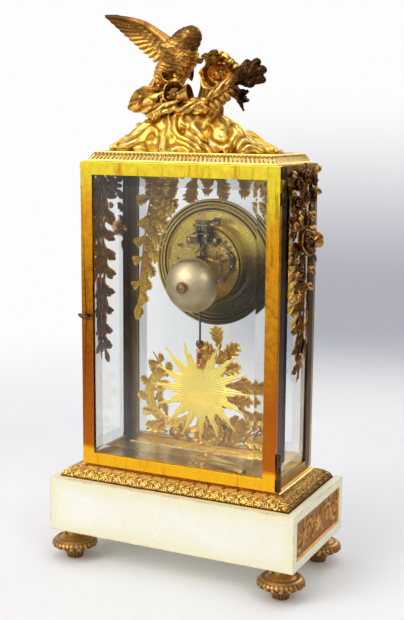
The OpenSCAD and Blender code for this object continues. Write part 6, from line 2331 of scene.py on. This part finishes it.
        casting = self.melted("dove_body", limbs, 0.8, 3, plumage)
        z = self.base_z
        casting.tube(
            [[0.8, 5, 106 + z], [0.2, 5.4, 102.5 + z], [0.8, 6.0, 98.8 + z]],
            [2.5, 1.7, 0.5], 12, cavity=0.8)
        for y in (-3.6, 11.0):
            casting.ball((0.8, y, 110.4 + z), 1.0, cavity=0.1)
        for k in range(7):
            way = (0.16 + 0.05 * k, 0.05 * (k - 3), -1.0)
            casting.blade(
                BLADE.feather, (33 + 1.6 * k, 2 + 1.3 * k, 88 + z - 1.5 * k), way,
                (0.55, 0.75, 0.2), 33 - 1.2 * k, 7.5, 0.1)
        for row, (long, lift) in enumerate(((34, 0.0), (22, 2.0), (13, 3.6))):
            for k in range(5):
                root = (26 - 2.6 * k, -9 - lift * 0.6 - 0.4 * k, 108 + z - 2.6 * k - 3 * row)
                casting.blade(
                    BLADE.feather, root, (-0.30 + 0.06 * k, -0.05, -1.0), (0.0, -1.0, 0.1),
                    long - 1.5 * k, 7.2, -0.12)
        for k in range(12):
            a = 0.35 * k
            casting.blade(
                BLADE.feather,
                (16 + 9 * math.cos(a) * 0.8, 2 + 11 * math.sin(a), 106 + z - 1.2 * (k % 3)),
                (0.5 * math.cos(a), 0.5 * math.sin(a), -1),
                (math.cos(a), math.sin(a), 0.5), 12, 7, -0.2)

        def wear_and_tone(p: Array, cavity: Array) -> Array:
            """Dark patches towards the head, and brighter low on the body."""
            patch = step(value_noise(p, 13, 62) - (p[:, 2] - 520) / 60, -0.7, 0.4)
            return (0.1 + 0.8 * cavity) * (0.45 + 0.6 * patch) + 0.2 * step(505 - p[:, 2], 0, 18)

        casting.tone(wear_and_tone)
        casting.make(FINISH.dove, replaces=("finial_bird",), sharp=70)

    def wing(self) -> None:
        """Raised wing: long flight feathers under two rows of coverts and a ridged leading edge."""
        casting = Casting("dove_raised_wing")
        z = self.base_z
        self.limb(
            casting, [[31, 3, 105, 6.5], [44, 5, 115.5, 4.8], [60, 7, 125.6, 3.6],
            [80, 9, 131.2, 2.6], [98, 11, 133.6, 1.3]])
        for k in range(11):
            t = k / 10
            root = np.array([63 - 28 * t, 7.4 - 2 * t, 124 + z - 22 * t])
            tip = np.array([101.2 - 52 * t, 10.5 - 4 * t, 134.4 + z - 46 * t])
            casting.blade(
                BLADE.feather, root, tip - root, (-0.05, 1, 0.1), float(np.linalg.norm(tip - root)),
                9.0 - 1.5 * t, 0.12 * (1 - t))
        for count, reach, lift, wide in (
                (9, 0.62, 2.0, 8.0), (8, 0.40, 3.4, 7.2), (7, 0.24, 4.4, 6.4)):
            for k in range(count):
                t = k / (count - 1)
                root = np.array([60 - 26 * t, 7.6 - 2 * t + lift * 0.55, 124.5 + z - 19 * t])
                tip = np.array([100 - 50 * t, 10 - 4 * t, 133 + z - 45 * t])
                long = reach * float(np.linalg.norm(tip - root))
                casting.blade(
                    BLADE.feather, root, tip - root + np.array([0, 1.0, 0]),
                    (-0.05, 1, 0.1), long, wide, -0.1)
                back = root - np.array([0, 5.0 + lift, 0])
                casting.blade(BLADE.feather, back, tip - root, (-0.05, -1, 0.1), long, wide, -0.1)

        def wear_and_tone(p: Array, cavity: Array) -> Array:
            """Dark towards the tip and in patches; painted light makes the low feathers brighter.
            """
            patch = 0.62 + 0.5 * step(value_noise(p, 11, 61), -0.5, 0.4)
            # Painted light: the lower feathers are made brighter.
            lit = 0.25 * step(560 - p[:, 2], 14, 36)
            return cavity * (1 - 0.85 * step(p[:, 0], 62, 98)) * patch + lit

        casting.tone(wear_and_tone)
        for block in casting.points:
            block[:, 2] = np.minimum(block[:, 2], self.top_z)
        casting.make(FINISH.dove, replaces=("finial_wing",), sharp=70)

    def basket(self) -> None:
        """Flower basket with its open mouth, three flower cups and the scrolls they grow from."""
        z = self.base_z
        limbs = [
            [[25, 3, 54, 7], [27, 1, 66, 7], [24, 2, 52, 8], [20, 3, 40, 9]],
            [[67, 8, 41, 1.6], [59, 10, 46, 4], [51, 9, 58, 4.6], [46, 7, 68, 4]],
            [[62, 9, 43, 3], [52, 13, 42, 7], [40, 16, 40, 8.5], [26, 17, 42, 7], [16, 15, 46, 5]],
            [[50, 8, 60, 5], [44, 10, 52, 8.5], [36, 9, 54, 9]],
            [[14, 17, 42, 5.5], [0, 21, 43, 7], [-14, 19, 44, 6], [-24, 13, 46, 5]],
            [[4, 10, 46, 8], [-6, 8, 42, 11], [-14, 8, 46, 10]],
            [[-10, 3, 88, 2.5], [-20, 4, 94, 4], [-32, 7, 91, 4], [-46, 12, 81, 2.5]]]

        def scrolls(p: Array, normal: Array) -> Relief:
            """Channelled leaf scrolls."""
            warp = value_noise(p, 13, 21) + 0.5 * value_noise(p, 6, 22)
            line = np.abs(np.sin(0.42 * p[:, 2] + 0.16 * p[:, 0] + 2.0 * warp))
            lift = 1.5 * (line - 0.5) + 0.2 * value_noise(p, 2.0, 23)
            return lift, np.clip(0.15 + 0.75 * line, 0, 1)

        casting = self.melted("flower_basket", limbs, 0.85, 3, scrolls)
        grow = Flowers(casting, 41)
        facing = unit((-0.34, 0.74, 0.58))
        mouth = np.array([-30.5, 17, 77 + z])
        up = [0, 0, z]
        self.horn(
            casting, [[-8, 4, 40 + z, 9.5], [-13, 4, 53 + z, 11.5], [-20, 6, 65 + z, 14.5],
            [*(mouth - 6 * facing), 17.5], [*mouth, 20.5]], [[*(mouth + 0.6 * facing), 19.4],
            [*(mouth - 4 * facing), 16.5], [*(mouth - 9 * facing), 13.5],
            [*(mouth - 13 * facing), 7.0], [*(mouth - 14 * facing), 0.3]])
        side, _, other = axes(facing, (0.2, 0.1, 0.97))
        grow.rose(mouth - 12 * facing, facing, 16.5, 0.75)
        grow.rose(mouth + 11.0 * spoke(side, other, 4.4) - facing * 5, facing, 6.0, 0.9)
        for *spot, r in ((-12, 8, 90, 7.0), (-20, 8, 93.5, 6.5), (-5, 8, 86, 6.0)):
            grow.rose(np.array(spot) + up, (0.1, 0.5, 0.85), r, 0.7)

        def lit(p: Array, cavity: Array) -> Array:
            """Brighter inside the mouth."""
            near = np.linalg.norm(p - (mouth - 7 * facing), axis=1) < 17
            return cavity + 0.55 * near * (((p - mouth) @ facing) < -0.5)

        casting.tone(lit)
        cups = (
            ((20, 16, 57), (-0.43, 0.89, 0.17), 11.0), ((24, 12, 75), (-0.28, 0.58, 0.77), 11.0),
            ((6, 10, 57), (-0.96, -0.1, 0.24), 9.8))
        for spot, way, r in cups:
            self.cup(casting, np.array(spot, float) + up, unit(way), r)
        for (x, y, height), way, long, wide in (
                ((-12, 4, 90), (-0.9, 0.2, 0.1), 26, 11), ((-14, 6, 88), (-0.4, 0.6, 0.6), 18, 11),
                ((30, 18, 50), (0.5, 0.5, -0.5), 22, 16), ((12, 20, 46), (-0.2, 0.6, 0.5), 18, 12),
                ((-4, 22, 46), (-0.6, 0.6, 0.1), 20, 12), ((32, 12, 60), (0.5, 0.5, 0.4), 16, 11),
                ((30, 0, 58), (0.7, -0.7, 0.2), 20, 13), ((4, -2, 52), (-0.3, -0.9, 0.2), 20, 13)):
            grow.leaf(BLADE.acanthus, (x, y, height + z), way, (0.1, 0.5, 0.9), long, wide, -0.7)
        for root, way, long, wide in (
                ((36, 18, 57 + z), (0.86, -0.1, -0.44), 37, 26),
                ((44, 16, 60 + z), (0.55, 0.0, -0.8), 24, 15)):
            casting.blade(BLADE.shell, root, way, (-0.25, 0.9, 0.35), long, wide, 0.5, 0.1)
        casting.make(FINISH.finial, replaces=("finial_basket",), sharp=70)

    @staticmethod
    def horn(casting: Casting, rows: object, hollow: object) -> None:
        """A bent horn with a wavy flared rim.

        Args:
            casting: takes the horn.
            rows: x, y, z and radius up the outside.
            hollow: x, y, z and radius from the rim down the inside.
        """
        rise, fall, sides = 44, 26, 120
        total = rise + fall
        outer, inner = spline(rows, rise), spline(hollow, fall)
        turn = circle(sides)
        ahead = unit(np.gradient(outer[:, :3], axis=0))
        back = np.repeat(ahead[-1:], len(inner), 0)
        way, line = np.vstack([ahead, back]), np.vstack([outer, inner])
        side = unit(np.cross(way, (0.2, 0.9, -0.3)))
        other = np.cross(way, side)
        share = np.concatenate([np.linspace(0, 1, rise), np.linspace(1, 0, fall)])[:, None]
        lip = step(share, 0.75, 1.0)
        wave = np.abs(np.cos(7 * turn + 3.0 * share))
        grit = value_noise(
            np.stack([9 * np.cos(turn) + 0 * share, 9 * np.sin(turn) + 0 * share,
            30 * share + 0 * turn], -1), 5, 71)
        flare = 1 + lip * (0.09 * np.sin(3 * turn + 0.6) + 0.06 * np.sin(7 * turn))
        radius = line[:, 3:4] * flare + (wave - 0.6) * (1 - lip) + 0.9 * grit
        across, rise_way = np.cos(turn)[None, :, None], np.sin(turn)[None, :, None]
        ring = side[:, None] * across + other[:, None] * rise_way
        grid = line[:, None, :3] + radius[..., None] * ring
        inside = np.arange(total)[:, None] > rise + 1
        cavity = 0.2 + 0.45 * wave + 0.35 * lip + 0.2 * grit
        cavity = np.where(inside, 0.78 - 0.5 * (1 - share) + 0.3 * grit, cavity)
        casting.loop(grid, np.clip(cavity, 0, 1))
        for row, flip in ((0, False), (total - 1, True)):
            index = np.arange(sides) + casting.total - (total - row) * sides
            casting.faces.append((index if flip else index[::-1]).tolist())

    @staticmethod
    def cup(casting: Casting, mouth: Array, ahead: Array, radius: float) -> None:
        """A deep flower cup with a scalloped lip and a bead of stamens inside."""
        deep = 13.0
        outer = [
            [0.01, 0], [0.42 * radius, 0.2], [0.55 * radius, 0.3 * deep],
            [0.8 * radius, 0.7 * deep], [radius, deep], [radius + 0.3, deep + 0.5],
            [radius - 0.9, deep + 0.2], [0.7 * radius, 0.6 * deep],
            [0.4 * radius, 0.25 * deep], [0.01, 0.2 * deep]]

        def petals(turn: Array, share: Array) -> Relief:
            """Five petals joined edge to edge."""
            wave = np.abs(np.cos(2.5 * turn))
            cavity = np.where(share > 0.62, 0.28 - 0.28 * (share > 0.75), 0.35 + 0.5 * wave)
            return 1.1 * (wave - 0.5) * np.sin(np.pi * share) ** 0.5, cavity

        foot = mouth - ahead * deep
        casting.spun(spline(outer, 48), foot, ahead, 70, petals)
        casting.ball(foot + ahead * 5.5, 2.4, cavity=0.8)
        side, _, other = axes(ahead, (0.3, 0.2, 0.93))
        for k in range(7):
            a = 2 * math.pi * k / 7
            casting.ball(
                foot + ahead * 5.2 + 3.1 * spoke(side, other, a), 1.0, cavity=0.75, sides=8)

    def torch(self) -> None:
        """Torch wound with oak leaves that lean out over the low side."""
        z = self.base_z
        limbs = [
            [[-22, 23, 53, 5.0], [-36, 22, 63, 5.8], [-50, 16, 72, 6.2]],
            [[-20, 8, 32, 9], [-24, 13, 44, 8], [-23, 21, 54, 5.5]],
            [[-36, 14, 63, 4.6], [-45, 9, 54, 3.4], [-52, 9, 41, 1.2]]]
        tips = (
            (-57, 12, 85), (-66, 10, 86), (-72.4, 12, 79), (-71, 10, 70), (-61, 13, 66),
            (-64, 5, 77), (-64, 17, 77))
        limbs += [
            [[-48, 11, 72, 6], [0.4 * -48 + 0.6 * x, 0.4 * 11 + 0.6 * y, 0.4 * 72 + 0.6 * h, 5.6],
            [x, y, h, 4.4]] for x, y, h in tips]

        def bark(p: Array, normal: Array) -> Relief:
            """Twisted bands."""
            line = np.abs(np.sin(0.5 * p[:, 0] + 0.3 * p[:, 2] + 1.2 * value_noise(p, 8, 31)))
            grit = value_noise(p, 3.0, 32)
            return 0.55 * (line - 0.5) + 0.3 * grit, np.clip(0.2 + 0.6 * line + 0.2 * grit, 0, 1)

        casting = self.melted("oak_torch", limbs, 0.8, 2, bark)
        grow = Flowers(casting, 47)
        for k in range(6):
            t = k / 5
            spot = np.array([-23 - 24 * t, 25 - 3 * t, 53 + 17 * t + z])
            grow.leaf(
                BLADE.acanthus, spot, (-0.6, 0.5, 0.5 + 0.3 * (k % 2)), (0, 1, 0.3), 13, 9, -0.9)
            grow.leaf(
                BLADE.acanthus, spot + [0, 0, -4], (-0.4, 0.5, -0.7), (0, 1, -0.3), 12, 8, -0.9)
        grow.leaf(BLADE.oak, (-40, 13, 64 + z), (-0.5, -0.2, -0.6), (-0.6, 0.7, 0.4), 24, 11, 0.5)
        grow.leaf(BLADE.oak, (-42, 10, 62 + z), (-0.75, 0.1, -0.35), (-0.3, 0.9, 0.3), 20, 10, 0.5)
        casting.make(FINISH.torch, replaces=("finial_torch",), sharp=70)

    def build(self) -> None:
        """Builds the finial from the rock up."""
        self.rock()
        self.bird()
        self.wing()
        self.basket()
        self.torch()


# The clock.


def main() -> None:
    """Builds the studio and every part of the clock in order."""
    logging.basicConfig(level=logging.INFO, format="%(message)s")
    Studio().build()
    for part in (Plinth(), Cage(), SideGarlands(), FrontOrnament(), Movement(), Dial(), Finial()):
        LOG.info("building %s", type(part).__name__)
        part.build()


if __name__ == "__main__":
    main()
